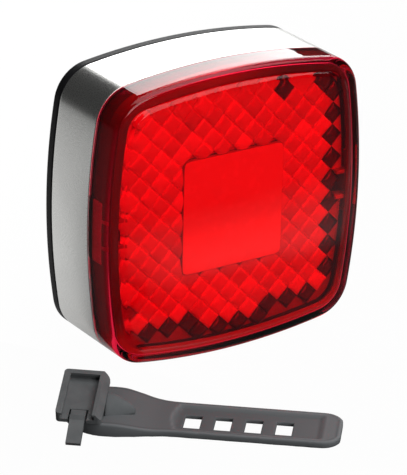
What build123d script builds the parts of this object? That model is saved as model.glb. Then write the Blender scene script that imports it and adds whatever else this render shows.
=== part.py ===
from build123d import *
import os
from math import cos, hypot, radians, sin

os.makedirs("parts", exist_ok=True)

# Bike rear light: a square lamp with bulged sides, and the strap mount that lies beside it.
# The lamp stands on the floor at z = 0 and faces -Y. All lengths are in millimetres.

# Lamp body, from the front rim plane backwards
lamp_width = 76.0
lamp_height = 75.4
side_bulge = 3.5
corner_radius = 10.2
lens_skirt = 9.0
band_depth = 17.0
cover_depth = 3.3
joint_gap = 0.15
slide_fit = 0.35
cut_over = 1.0

# Lens
lens_wall = 2.0
lens_round = 1.9
rim_width = 3.6
plateau_rise = 0.9
plateau_bevel = 0.8
latch_height = 16.0
latch_depth = 1.1
latch_length = 4.0
latch_back = 0.6
latch_root = 0.5
latch_cut = 3.2

# Reflector and window
panel_gap = 2.1
panel_front = 2.5
panel_thick = 3.0
prism_pitch = 4.25
prism_rise = 1.5
panel_rim = 1.2
panel_backing = 0.8
window_width = 30.0
window_height = 30.6
window_round = 2.0
window_front = 2.85
window_edge = 0.4
window_play = 0.1
window_lip = 1.5
peg_radius = 1.5
peg_inset = 6.5
latch_notch_width = 3.2
latch_notch_height = 7.8

# Metal band and back cover
band_wall = 0.8
cover_plate = 2.0
cover_round = 1.4
cover_inset = 0.15
shell_wall = 1.4
shell_play = 0.2
spigot_depth = 3.4
gasket_thick = 0.8

# Inner chassis
bulkhead_depth = 19.0
bulkhead_thick = 1.5
spigot_reach = 4.0
spigot_wall = 1.3
seal_recess = 0.7
seal_width = 1.3

# Boards and light sources
board_side = 30.0
board_thick = 1.2
board_depth = 9.0
board_corner = 1.5
boss_radius = 2.6
boss_inset = 3.2
screw_radius = 1.0
screw_head = 2.1
screw_head_depth = 1.1
led_side = 5.0
led_height = 0.9
led_pitch = 11.0
led_dome = 0.5
led_dome_share = 0.36
chip_length = 3.2
chip_width = 1.6
chip_height = 0.6
chip_place_share = 0.4
driver_rise_share = 0.37
driver_width = 5.0
driver_height = 3.9
driver_thick = 1.0
switch_board_width = 26.0
switch_board_height = 14.0
switch_board_stand = 1.0
switch_post_pitch = 20.0
switch_screw_head = 0.8
switch_side = 6.0
switch_height = 2.9
plunger_radius = 1.7
plunger_height = 0.4

# Batteries: two cells of the common 10.5 x 44.5 mm size
cell_radius = 5.25
cell_length = 44.5
cell_nub_radius = 1.9
cell_nub = 0.8
cell_offset = 24.0
cell_stand = 1.0
cell_edge = 0.5
spring_length = 3.2
spring_wide = 3.6
spring_wire = 0.5
contact_thick = 0.4
contact_width = 9.0
contact_depth = 8.0
bay_wall = 1.6
bay_width = 13.5
cradle_thick = 1.6
cradle_share = 0.45

# Power button in the back cover
button_radius = 6.0
button_proud = 0.6
button_edge = 0.5
button_flange = 1.2
button_travel = 0.7
button_stop = 0.05
button_drop = 19.0
boot_thick = 0.4

# Cover screws
cover_screw_offset = 25.0
cover_screw_shank = 1.1
cover_screw_head = 2.6
cover_screw_head_depth = 1.2
cover_boss_radius = 3.2
screw_play = 0.1
screw_slot_length = 3.0
screw_slot_width = 0.7
screw_slot_depth = 0.7

# Slide rail on the back
rail_rise = 9.0
rail_plate_width = 16.0
rail_plate_height = 26.0
rail_plate_thick = 1.6
rail_plate_round = 3.0
rail_neck_width = 6.4
rail_neck = 0.9
rail_head_width = 7.6
rail_head_thick = 0.9
rail_head_round = 0.6
rail_length = 13.0
rail_screw_spread = 9.5

# Strap, in its own frame: u runs along it to the tail, v runs across it, away from the viewer
strap_turn = -40.5
strap_disc_radius = 10.6
strap_disc_thick = 3.3
strap_tail_half = 8.1
strap_tail_thick = 1.7
strap_length = 56.0
strap_end_round = 4.6
strap_waist = 17.0
strap_slope_start = 1.0
strap_slope_end = 13.0
corner_mid_share = 0.7071
sunk_depth = 0.35
sunk_margin = 1.7
sunk_start = 15.5
sunk_end_margin = 4.6
sunk_round = 1.0
hole_pitch = 7.35
hole_count = 4
hole_first = 20.2
hole_along = 4.0
hole_across = 6.6
hole_drop = 1.0
hole_round = 0.4

# Place of the strap's disc, seen from the middle of the lamp's front
strap_disc_side = -47.3
strap_disc_depth = -16.8

# Bracket tray and release lever, in the tray's own tilted frame
tray_tilt = 17.0
tray_u = -5.8
tray_v = -4.6
tray_top = 8.5
tray_width = 11.0
tray_length = 15.6
tray_floor = 1.0
tray_wall_height = 1.8
tray_left_wall = 1.6
tray_right_wall = 2.2
tray_far_wall = 1.4
tray_lip = 0.5
tray_lip_thick = 0.6
tray_slope_width = 1.4
tray_slope_height = 1.9
tray_round = 1.0
stem_u = -4.0
stem_v = -2.6
stem_length = 7.0
stem_width = 6.4
stem_round = 1.5
gusset_height = 2.4
gusset_half_width = 3.7
gusset_tip_height = 0.9
gusset_tip_half_width = 1.3
gusset_length = 7.2
gusset_rise = 0.2
tongue_width = 3.6
tongue_slot = 0.45
tongue_length = 3.6
tongue_gap = 0.15
tongue_catch = 0.7
tongue_catch_length = 0.9
lever_drop_angle = 30.0
lever_length = 6.6
lever_thick = 1.0
base_insert_thick = 1.0
base_insert_radius = 4.6
mount_screw_radius = 1.2
mount_hole_play = 0.1
mount_screw_head = 2.4
mount_screw_head_depth = 1.0
mount_screw_sunk = 0.2
mount_screw_bite = 1.6
hook_width = 5.0
hook_reach = 4.0
hook_thick = 1.0
hook_lip = 1.0
hook_lip_rise = 0.5

# Depths of the lamp's joints, and its middle height
band_front = lens_skirt + joint_gap
band_back = band_front + band_depth
lamp_back = band_back + cover_depth
cover_inner = lamp_back - cover_plate
lamp_mid = lamp_height / 2
rail_back = lamp_back + rail_plate_thick + rail_neck + rail_head_thick
shell_inset = band_wall + shell_play
spigot_inset = lens_wall + slide_fit
shoulder_front = band_front + seal_recess
gasket_back = band_back - spigot_depth
chassis_back = gasket_back - gasket_thick
bulkhead_back = bulkhead_depth + bulkhead_thick

# Reflector and its prism teeth
panel_inset = lens_wall + panel_gap
panel_back = panel_front + panel_thick
panel_side = lamp_width / 2 - panel_inset
peg_side = panel_side - peg_inset
peg_rise = lamp_height / 2 - panel_inset - peg_inset
prism_valley = panel_thick - prism_rise
saw_teeth = int((lamp_width + lamp_height) / 2 / prism_pitch) + 1
saw_half = saw_teeth * prism_pitch / 2

# Places across the lamp's front
latch_middle = lamp_width / 2 - lens_wall - (latch_depth - latch_root) / 2
latch_places = [(-latch_middle, 0), (latch_middle, 0)]
board_back = board_depth + board_thick
board_post_pitch = board_side - 2 * boss_inset
led_places = [(0, 0)] + [(x * led_pitch / 2, y * led_pitch / 2) for x in (1, -1) for y in (1, -1)]
chip_reach = board_side * chip_place_share
chip_places = [(-chip_reach, 0), (chip_reach, 0)]
cover_screw_places = [(x * cover_screw_offset, y * cover_screw_offset) for x in (1, -1) for y in (1, -1)]

# Batteries: each cell is pushed towards its nub by half the spring's length
cell_depth = bulkhead_depth - cell_stand - cell_radius
contact_place = (cell_length + spring_length) / 2
bay_end_place = contact_place + contact_thick + bay_wall / 2

# Switch and button, from the bulkhead back to the cover
switch_board_front = bulkhead_back + switch_board_stand
switch_board_back = switch_board_front + board_thick
switch_top = switch_board_back + switch_height
button_foot = switch_top + plunger_height + button_travel + button_stop

# Sunk panel of the strap, and the tray's cavity
sunk_end = strap_length - sunk_end_margin
cavity_width = tray_width - tray_left_wall - tray_right_wall
tray_under = tray_wall_height + tray_floor

# The strap's far corner, lowest in y, and the lever's tip, lowest in x, set the middle of the whole set
turn_cos = cos(radians(strap_turn))
turn_sin = sin(radians(strap_turn))
tail_round_u = strap_length - strap_end_round
tail_round_v = -(strap_tail_half - strap_end_round)
end_corner = strap_end_round * corner_mid_share
set_front = strap_disc_depth + tail_round_u * turn_sin + tail_round_v * turn_cos - strap_end_round
tilt_cos = cos(radians(tray_tilt))
tilt_sin = sin(radians(tray_tilt))
tray_half_run = tray_length / 2 * tilt_cos
lever_run = lever_length * cos(radians(lever_drop_angle))
cavity_middle = (tray_left_wall - tray_right_wall) / 2
lever_tip_u = tray_u + cavity_middle - tongue_width / 2
lever_tip_v = tray_v - tray_half_run + tray_wall_height * tilt_sin - lever_run
set_left = strap_disc_side + lever_tip_u * turn_cos - lever_tip_v * turn_sin
set_right = lamp_width / 2
lamp_x = -(set_left + set_right) / 2
lamp_y = -(set_front + rail_back) / 2
strap_x = lamp_x + strap_disc_side
strap_y = lamp_y + strap_disc_depth


def lamp_plane(depth, side=0.0, rise=0.0):
    """The upright plane at a depth behind the front rim; it faces the viewer."""
    return Plane(origin=(lamp_x + side, lamp_y + depth, lamp_mid + rise), x_dir=(1, 0, 0), z_dir=(0, -1, 0))


def side_circle(half_length):
    """Radius of the circle of a bulged side, from half its length between the lamp's corners."""
    half = half_length - side_bulge
    return (half * half + side_bulge * side_bulge) / (2 * side_bulge)


def corner_centre():
    """Centre of the round corner that is tangent to the right and the top side."""
    half_w = lamp_width / 2
    half_h = lamp_height / 2
    right_radius = side_circle(half_h)
    top_radius = side_circle(half_w)
    right_x = half_w - right_radius
    top_y = half_h - top_radius
    apart = hypot(right_x, top_y)
    to_right = right_radius - corner_radius
    to_top = top_radius - corner_radius
    along = (to_right**2 - to_top**2 + apart**2) / (2 * apart)
    across = (to_right**2 - along**2) ** 0.5
    unit_x = -right_x / apart
    unit_y = top_y / apart
    return right_x + unit_x * along - unit_y * across, unit_y * along + unit_x * across


def draw_outline(inset=0.0, mode=Mode.ADD):
    """Draw the lamp's outline, drawn in by inset: four bulged sides and four round corners."""
    half_w = lamp_width / 2
    half_h = lamp_height / 2
    right_radius = side_circle(half_h)
    top_radius = side_circle(half_w)
    corner_x, corner_y = corner_centre()
    to_side = Vector(corner_x - (half_w - right_radius), corner_y).normalized()
    to_top = Vector(corner_x, corner_y - (half_h - top_radius)).normalized()
    middle = (to_side + to_top).normalized()
    corner = Vector(corner_x, corner_y)
    side_end = corner + to_side * (corner_radius - inset)
    top_end = corner + to_top * (corner_radius - inset)
    corner_middle = corner + middle * (corner_radius - inset)
    with BuildLine() as sides:
        for flip_x, flip_y in ((1, 1), (-1, 1), (-1, -1), (1, -1)):
            ThreePointArc(
                (flip_x * side_end.X, flip_y * side_end.Y),
                (flip_x * corner_middle.X, flip_y * corner_middle.Y),
                (flip_x * top_end.X, flip_y * top_end.Y),
            )
        for flip in (1, -1):
            ThreePointArc(
                (flip * side_end.X, side_end.Y),
                (flip * (half_w - inset), 0),
                (flip * side_end.X, -side_end.Y),
            )
            ThreePointArc(
                (top_end.X, flip * top_end.Y),
                (0, flip * (half_h - inset)),
                (-top_end.X, flip * top_end.Y),
            )
    make_face(sides.edges(), mode=mode)


def draw_ring(inset, wall):
    """Draw a closed wall that follows the lamp's outline."""
    draw_outline(inset)
    draw_outline(inset + wall, Mode.SUBTRACT)


# Lens cover: a hollow red moulding with a flat rim and a raised, bevelled front
with BuildPart() as lens_cover:
    with BuildSketch(lamp_plane(lens_skirt)):
        draw_outline()
    extrude(amount=lens_skirt)
    fillet(lens_cover.faces().sort_by(Axis.Y)[0].edges(), lens_round)
    with BuildSketch(lamp_plane(0)):
        draw_outline(rim_width)
    extrude(amount=plateau_rise)
    chamfer(lens_cover.faces().sort_by(Axis.Y)[0].edges(), plateau_bevel)
    with BuildSketch(lamp_plane(lens_skirt)):
        draw_outline(lens_wall)
    extrude(amount=lens_skirt - lens_wall, mode=Mode.SUBTRACT)
    # Latch pads on the two side walls, which snap over the chassis
    with BuildSketch(lamp_plane(lens_skirt - latch_back)):
        with Locations(*latch_places):
            Rectangle(latch_depth + latch_root, latch_height)
    extrude(amount=latch_length)
lens_cover.part.label = "lens_cover"
export_step(lens_cover.part, "parts/lens_cover.step")


# Reflector: a plate of diamond prisms, cut by two crossed rows of saw teeth
def saw_plane(lean):
    """The plane across a row of saw teeth that leans to the right (1) or to the left (-1)."""
    return Plane(
        origin=(lamp_x, lamp_y + panel_back, lamp_mid),
        x_dir=(1, 0, -lean),
        z_dir=(lean, 0, 1),
    )


def saw_points():
    """The section of a row of saw teeth: each rises slowly, then falls straight back."""
    points = [(-saw_half, 0)]
    for tooth in range(saw_teeth):
        start = -saw_half + tooth * prism_pitch
        points.append((start, -prism_valley))
        points.append((start + prism_pitch, -panel_thick))
    points.append((saw_half, 0))
    return points


with BuildPart() as reflector_panel:
    with BuildSketch(lamp_plane(panel_back)):
        draw_outline(panel_inset)
    extrude(amount=panel_thick)
    for lean in (1, -1):
        with BuildSketch(saw_plane(lean)):
            with BuildLine():
                Polyline(*saw_points(), close=True)
            make_face()
        extrude(amount=saw_half, both=True, mode=Mode.INTERSECT)
    # The opening for the window, and the notches that let the latch pads pass
    with BuildSketch(lamp_plane(panel_back)):
        RectangleRounded(window_width, window_height, window_round)
        with Locations((-panel_side, 0), (panel_side, 0)):
            Rectangle(2 * latch_notch_width, latch_notch_height)
    extrude(amount=panel_thick + cut_over, mode=Mode.SUBTRACT)
    # Pegs at the corners reach the lens and the chassis side of the plate
    with BuildSketch(lamp_plane(panel_back + panel_backing)):
        draw_ring(panel_inset, panel_rim)
        with Locations((-panel_side, 0), (panel_side, 0)):
            Rectangle(2 * latch_notch_width, latch_notch_height, mode=Mode.SUBTRACT)
    extrude(amount=panel_backing)
    with BuildSketch(lamp_plane(panel_back)):
        with GridLocations(2 * peg_side, 2 * peg_rise, 2, 2):
            Circle(peg_radius)
    extrude(amount=panel_back - lens_wall)
reflector_panel.part.label = "reflector_panel"
export_step(reflector_panel.part, "parts/reflector_panel.step")

# Smooth light window in the middle, with a lip that seats behind the reflector
with BuildPart() as light_window:
    with BuildSketch(lamp_plane(panel_back + panel_backing)):
        RectangleRounded(window_width + 2 * window_lip, window_height + 2 * window_lip, window_round)
    extrude(amount=panel_backing)
    with BuildSketch(lamp_plane(panel_back)):
        RectangleRounded(
            window_width - 2 * window_play,
            window_height - 2 * window_play,
            window_round - window_play,
        )
    extrude(amount=panel_back - window_front)
    fillet(light_window.faces().sort_by(Axis.Y)[0].edges(), window_edge)
light_window.part.label = "light_window"
export_step(light_window.part, "parts/light_window.step")

# Metal band: a thin drawn ring around the lamp
with BuildPart() as metal_band:
    with BuildSketch(lamp_plane(band_back)):
        draw_ring(0.0, band_wall)
    extrude(amount=band_depth)
metal_band.part.label = "metal_band"
export_step(metal_band.part, "parts/metal_band.step")

# Back cover: a black shell with a spigot inside the band, and holes for the button and screws
with BuildPart() as back_cover:
    with BuildSketch(lamp_plane(lamp_back)):
        draw_outline(cover_inset)
    extrude(amount=cover_depth)
    fillet(back_cover.faces().sort_by(Axis.Y)[-1].edges(), cover_round)
    with BuildSketch(lamp_plane(cover_inner)):
        draw_outline(shell_inset + shell_wall)
    extrude(amount=cover_inner - band_back, mode=Mode.SUBTRACT)
    with BuildSketch(lamp_plane(band_back)):
        draw_ring(shell_inset, shell_wall)
    extrude(amount=spigot_depth)
    with BuildSketch(lamp_plane(lamp_back, rise=-button_drop)):
        Circle(button_radius + slide_fit)
    extrude(amount=cover_plate, mode=Mode.SUBTRACT)
    with BuildSketch(lamp_plane(lamp_back)):
        with Locations(*cover_screw_places):
            Circle(cover_screw_shank + screw_play)
    extrude(amount=cover_plate, mode=Mode.SUBTRACT)
    with BuildSketch(lamp_plane(lamp_back)):
        with Locations(*cover_screw_places):
            Circle(cover_screw_head + screw_play)
    extrude(amount=cover_screw_head_depth, mode=Mode.SUBTRACT)
back_cover.part.label = "back_cover"
export_step(back_cover.part, "parts/back_cover.step")

# Cover gasket, squeezed between the chassis and the back cover
with BuildPart() as cover_gasket:
    with BuildSketch(lamp_plane(gasket_back)):
        draw_ring(shell_inset, shell_wall)
    extrude(amount=gasket_thick)
cover_gasket.part.label = "cover_gasket"
export_step(cover_gasket.part, "parts/cover_gasket.step")

# Inner chassis: a black tray inside the band, with a spigot that the lens slips over
with BuildPart() as inner_chassis:
    with BuildSketch(lamp_plane(chassis_back)):
        draw_ring(shell_inset, shell_wall)
    extrude(amount=chassis_back - shoulder_front)
    with BuildSketch(lamp_plane(shoulder_front + shell_wall)):
        draw_ring(shell_inset, spigot_inset + spigot_wall - shell_inset)
    extrude(amount=shell_wall)
    with BuildSketch(lamp_plane(shoulder_front)):
        draw_ring(spigot_inset, spigot_wall)
    extrude(amount=seal_recess + spigot_reach)
    with BuildSketch(lamp_plane(bulkhead_back)):
        draw_outline(shell_inset + shell_wall / 2)
    extrude(amount=bulkhead_thick)
    # Notches in the spigot for the lens latches
    with BuildSketch(lamp_plane(band_front)):
        with Locations(*latch_places):
            Rectangle(latch_cut, latch_height + 2 * slide_fit)
    extrude(amount=spigot_reach, mode=Mode.SUBTRACT)
    # Posts for the light board, and blocks that hold the batteries at both ends
    with BuildSketch(lamp_plane(bulkhead_depth)):
        with GridLocations(board_post_pitch, board_post_pitch, 2, 2):
            Circle(boss_radius)
            Circle(screw_radius, mode=Mode.SUBTRACT)
    extrude(amount=bulkhead_depth - board_back)
    with BuildSketch(lamp_plane(bulkhead_depth)):
        with GridLocations(2 * cell_offset, 2 * bay_end_place, 2, 2):
            Rectangle(bay_width, bay_wall)
    extrude(amount=contact_depth + cell_stand)
    with BuildSketch(lamp_plane(bulkhead_depth)):
        with GridLocations(2 * cell_offset, cell_length * cradle_share, 2, 2):
            Rectangle(bay_width, cradle_thick)
    extrude(amount=cell_stand + cell_radius)
    with BuildSketch(Plane.XY.offset(lamp_mid - contact_place)):
        with Locations(*[(lamp_x + side * cell_offset, lamp_y + cell_depth) for side in (1, -1)]):
            Circle(cell_radius)
    extrude(amount=2 * contact_place, mode=Mode.SUBTRACT)
    # Bosses behind the bulkhead for the cover screws and the switch board
    with BuildSketch(lamp_plane(cover_inner)):
        with Locations(*cover_screw_places):
            Circle(cover_boss_radius)
            Circle(cover_screw_shank, mode=Mode.SUBTRACT)
    extrude(amount=cover_inner - bulkhead_back)
    with BuildSketch(lamp_plane(switch_board_front, rise=-button_drop)):
        with GridLocations(switch_post_pitch, 0, 2, 1):
            Circle(boss_radius)
            Circle(screw_radius, mode=Mode.SUBTRACT)
    extrude(amount=switch_board_stand)
inner_chassis.part.label = "inner_chassis"
export_step(inner_chassis.part, "parts/inner_chassis.step")

# Lens seal: a flat rubber ring on the chassis shoulder, under the lens's back edge
with BuildPart() as lens_seal:
    with BuildSketch(lamp_plane(shoulder_front)):
        draw_ring(shell_inset, seal_width)
    extrude(amount=shoulder_front - lens_skirt)
lens_seal.part.label = "lens_seal"
export_step(lens_seal.part, "parts/lens_seal.step")

# Light board on its four posts
with BuildPart() as led_board:
    with BuildSketch(lamp_plane(board_back)):
        RectangleRounded(board_side, board_side, board_corner)
        with GridLocations(board_post_pitch, board_post_pitch, 2, 2):
            Circle(screw_radius, mode=Mode.SUBTRACT)
    extrude(amount=board_thick)
led_board.part.label = "led_board"
export_step(led_board.part, "parts/led_board.step")

# Board screws, one in each post
with BuildPart() as board_screws:
    with BuildSketch(lamp_plane(board_depth)):
        with GridLocations(board_post_pitch, board_post_pitch, 2, 2):
            Circle(screw_head)
    extrude(amount=screw_head_depth)
    with BuildSketch(lamp_plane(bulkhead_depth)):
        with GridLocations(board_post_pitch, board_post_pitch, 2, 2):
            Circle(screw_radius)
    extrude(amount=bulkhead_depth - board_depth)
board_screws.part.label = "board_screws"
export_step(board_screws.part, "parts/board_screws.step")

# Light emitting diodes: a white block with a round lens in each
with BuildPart() as leds:
    with BuildSketch(lamp_plane(board_depth)):
        with Locations(*led_places):
            Rectangle(led_side, led_side)
    extrude(amount=led_height)
    with BuildSketch(lamp_plane(board_depth - led_height)):
        with Locations(*led_places):
            Circle(led_side * led_dome_share)
    extrude(amount=led_dome)
leds.part.label = "leds"
export_step(leds.part, "parts/leds.step")

# Small resistors and the driver chip on the light board
with BuildPart() as board_chips:
    with BuildSketch(lamp_plane(board_depth)):
        with Locations(*chip_places):
            Rectangle(chip_width, chip_length)
    extrude(amount=chip_height)
    with BuildSketch(lamp_plane(board_depth, rise=-board_side * driver_rise_share)):
        Rectangle(driver_width, driver_height)
    extrude(amount=driver_thick)
board_chips.part.label = "board_chips"
export_step(board_chips.part, "parts/board_chips.step")

# Battery cells: the left one has its nub up, the right one has it down
for cell_name, cell_side, nub_up in (("battery_left", -1, 1), ("battery_right", 1, -1)):
    nub_end = Plane(
        origin=(lamp_x + cell_side * cell_offset, lamp_y + cell_depth, lamp_mid + nub_up * contact_place),
        x_dir=(1, 0, 0),
        z_dir=(0, 0, -nub_up),
    )
    with BuildPart() as battery_cell:
        with BuildSketch(nub_end.offset(cell_nub)):
            Circle(cell_radius)
        extrude(amount=cell_length - cell_nub)
        fillet(battery_cell.edges().filter_by(GeomType.CIRCLE), cell_edge)
        with BuildSketch(nub_end):
            Circle(cell_nub_radius)
        extrude(amount=cell_nub)
    battery_cell.part.label = cell_name
    export_step(battery_cell.part, f"parts/{cell_name}.step")

# Contact springs: each presses on the flat end of its cell
for spring_name, cell_side, nub_up in (("spring_left", -1, 1), ("spring_right", 1, -1)):
    spring_foot = Plane(
        origin=(lamp_x + cell_side * cell_offset, lamp_y + cell_depth, lamp_mid - nub_up * contact_place),
        x_dir=(1, 0, 0),
        z_dir=(0, 0, nub_up),
    )
    with BuildPart() as contact_spring:
        with BuildSketch(spring_foot):
            Circle(spring_wide)
            Circle(spring_wide - spring_wire, mode=Mode.SUBTRACT)
        extrude(amount=spring_length)
    contact_spring.part.label = spring_name
    export_step(contact_spring.part, f"parts/{spring_name}.step")

# Contacts on the end walls: one bridge at the top, two plates at the bottom
with BuildPart() as contact_bridge:
    with BuildSketch(Plane.XY.offset(lamp_mid + contact_place)):
        with Locations((lamp_x, lamp_y + cell_depth)):
            Rectangle(2 * cell_offset + contact_width, contact_depth)
    extrude(amount=contact_thick)
contact_bridge.part.label = "contact_bridge"
export_step(contact_bridge.part, "parts/contact_bridge.step")

with BuildPart() as battery_contacts:
    with BuildSketch(Plane.XY.offset(lamp_mid - contact_place - contact_thick)):
        with Locations((lamp_x, lamp_y + cell_depth)):
            with GridLocations(2 * cell_offset, 0, 2, 1):
                Rectangle(contact_width, contact_depth)
    extrude(amount=contact_thick)
battery_contacts.part.label = "battery_contacts"
export_step(battery_contacts.part, "parts/battery_contacts.step")

# Switch board behind the bulkhead, with its small push switch
with BuildPart() as switch_board:
    with BuildSketch(lamp_plane(switch_board_back, rise=-button_drop)):
        RectangleRounded(switch_board_width, switch_board_height, board_corner)
        with GridLocations(switch_post_pitch, 0, 2, 1):
            Circle(screw_radius, mode=Mode.SUBTRACT)
    extrude(amount=board_thick)
switch_board.part.label = "switch_board"
export_step(switch_board.part, "parts/switch_board.step")

with BuildPart() as switch_screws:
    with BuildSketch(lamp_plane(switch_board_back + switch_screw_head, rise=-button_drop)):
        with GridLocations(switch_post_pitch, 0, 2, 1):
            Circle(screw_head)
    extrude(amount=switch_screw_head)
    with BuildSketch(lamp_plane(switch_board_back, rise=-button_drop)):
        with GridLocations(switch_post_pitch, 0, 2, 1):
            Circle(screw_radius)
    extrude(amount=board_thick + switch_board_stand)
switch_screws.part.label = "switch_screws"
export_step(switch_screws.part, "parts/switch_screws.step")

with BuildPart() as tact_switch:
    with BuildSketch(lamp_plane(switch_top, rise=-button_drop)):
        Rectangle(switch_side, switch_side)
    extrude(amount=switch_height)
    with BuildSketch(lamp_plane(switch_top + plunger_height, rise=-button_drop)):
        Circle(plunger_radius)
    extrude(amount=plunger_height)
tact_switch.part.label = "tact_switch"
export_step(tact_switch.part, "parts/tact_switch.step")

# Power button: a round cap with a flange that stops behind the cover
with BuildPart() as power_button:
    with BuildSketch(lamp_plane(lamp_back + button_proud, rise=-button_drop)):
        Circle(button_radius)
    extrude(amount=lamp_back + button_proud - button_foot)
    fillet(power_button.faces().sort_by(Axis.Y)[-1].edges(), button_edge)
    with BuildSketch(lamp_plane(cover_inner - boot_thick, rise=-button_drop)):
        Circle(button_radius + button_flange)
    extrude(amount=cover_inner - boot_thick - button_foot)
power_button.part.label = "power_button"
export_step(power_button.part, "parts/power_button.step")

# Button seal: a thin rubber ring between the flange and the cover
with BuildPart() as button_seal:
    with BuildSketch(lamp_plane(cover_inner, rise=-button_drop)):
        Circle(button_radius + button_flange)
        Circle(button_radius + slide_fit, mode=Mode.SUBTRACT)
    extrude(amount=boot_thick)
button_seal.part.label = "button_seal"
export_step(button_seal.part, "parts/button_seal.step")

# Cover screws, sunk level with the back
with BuildPart() as cover_screws:
    with BuildSketch(lamp_plane(lamp_back)):
        with Locations(*cover_screw_places):
            Circle(cover_screw_head)
    extrude(amount=cover_screw_head_depth)
    with BuildSketch(lamp_plane(lamp_back)):
        with Locations(*cover_screw_places):
            Rectangle(screw_slot_length, screw_slot_width)
            Rectangle(screw_slot_width, screw_slot_length)
    extrude(amount=screw_slot_depth, mode=Mode.SUBTRACT)
    with BuildSketch(lamp_plane(lamp_back - cover_screw_head_depth)):
        with Locations(*cover_screw_places):
            Circle(cover_screw_shank)
    extrude(amount=lamp_back - cover_screw_head_depth - bulkhead_back)
cover_screws.part.label = "cover_screws"
export_step(cover_screws.part, "parts/cover_screws.step")

# Rear rail: a plate on the back that carries the T-shaped slide rail
with BuildPart() as rear_rail:
    with BuildSketch(lamp_plane(lamp_back + rail_plate_thick, rise=rail_rise)):
        RectangleRounded(rail_plate_width, rail_plate_height, rail_plate_round)
        with GridLocations(0, 2 * rail_screw_spread, 1, 2):
            Circle(screw_radius, mode=Mode.SUBTRACT)
    extrude(amount=rail_plate_thick)
    with BuildSketch(lamp_plane(rail_back - rail_head_thick, rise=rail_rise)):
        Rectangle(rail_neck_width, rail_length)
    extrude(amount=rail_neck)
    with BuildSketch(lamp_plane(rail_back, rise=rail_rise)):
        RectangleRounded(rail_head_width, rail_length, rail_head_round)
    extrude(amount=rail_head_thick)
rear_rail.part.label = "rear_rail"
export_step(rear_rail.part, "parts/rear_rail.step")

with BuildPart() as rail_screws:
    with BuildSketch(lamp_plane(lamp_back + rail_plate_thick + screw_head_depth, rise=rail_rise)):
        with GridLocations(0, 2 * rail_screw_spread, 1, 2):
            Circle(screw_head)
    extrude(amount=screw_head_depth)
    with BuildSketch(lamp_plane(lamp_back + rail_plate_thick, rise=rail_rise)):
        with GridLocations(0, 2 * rail_screw_spread, 1, 2):
            Circle(screw_radius)
    extrude(amount=rail_plate_thick)
rail_screws.part.label = "rail_screws"
export_step(rail_screws.part, "parts/rail_screws.step")

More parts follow.
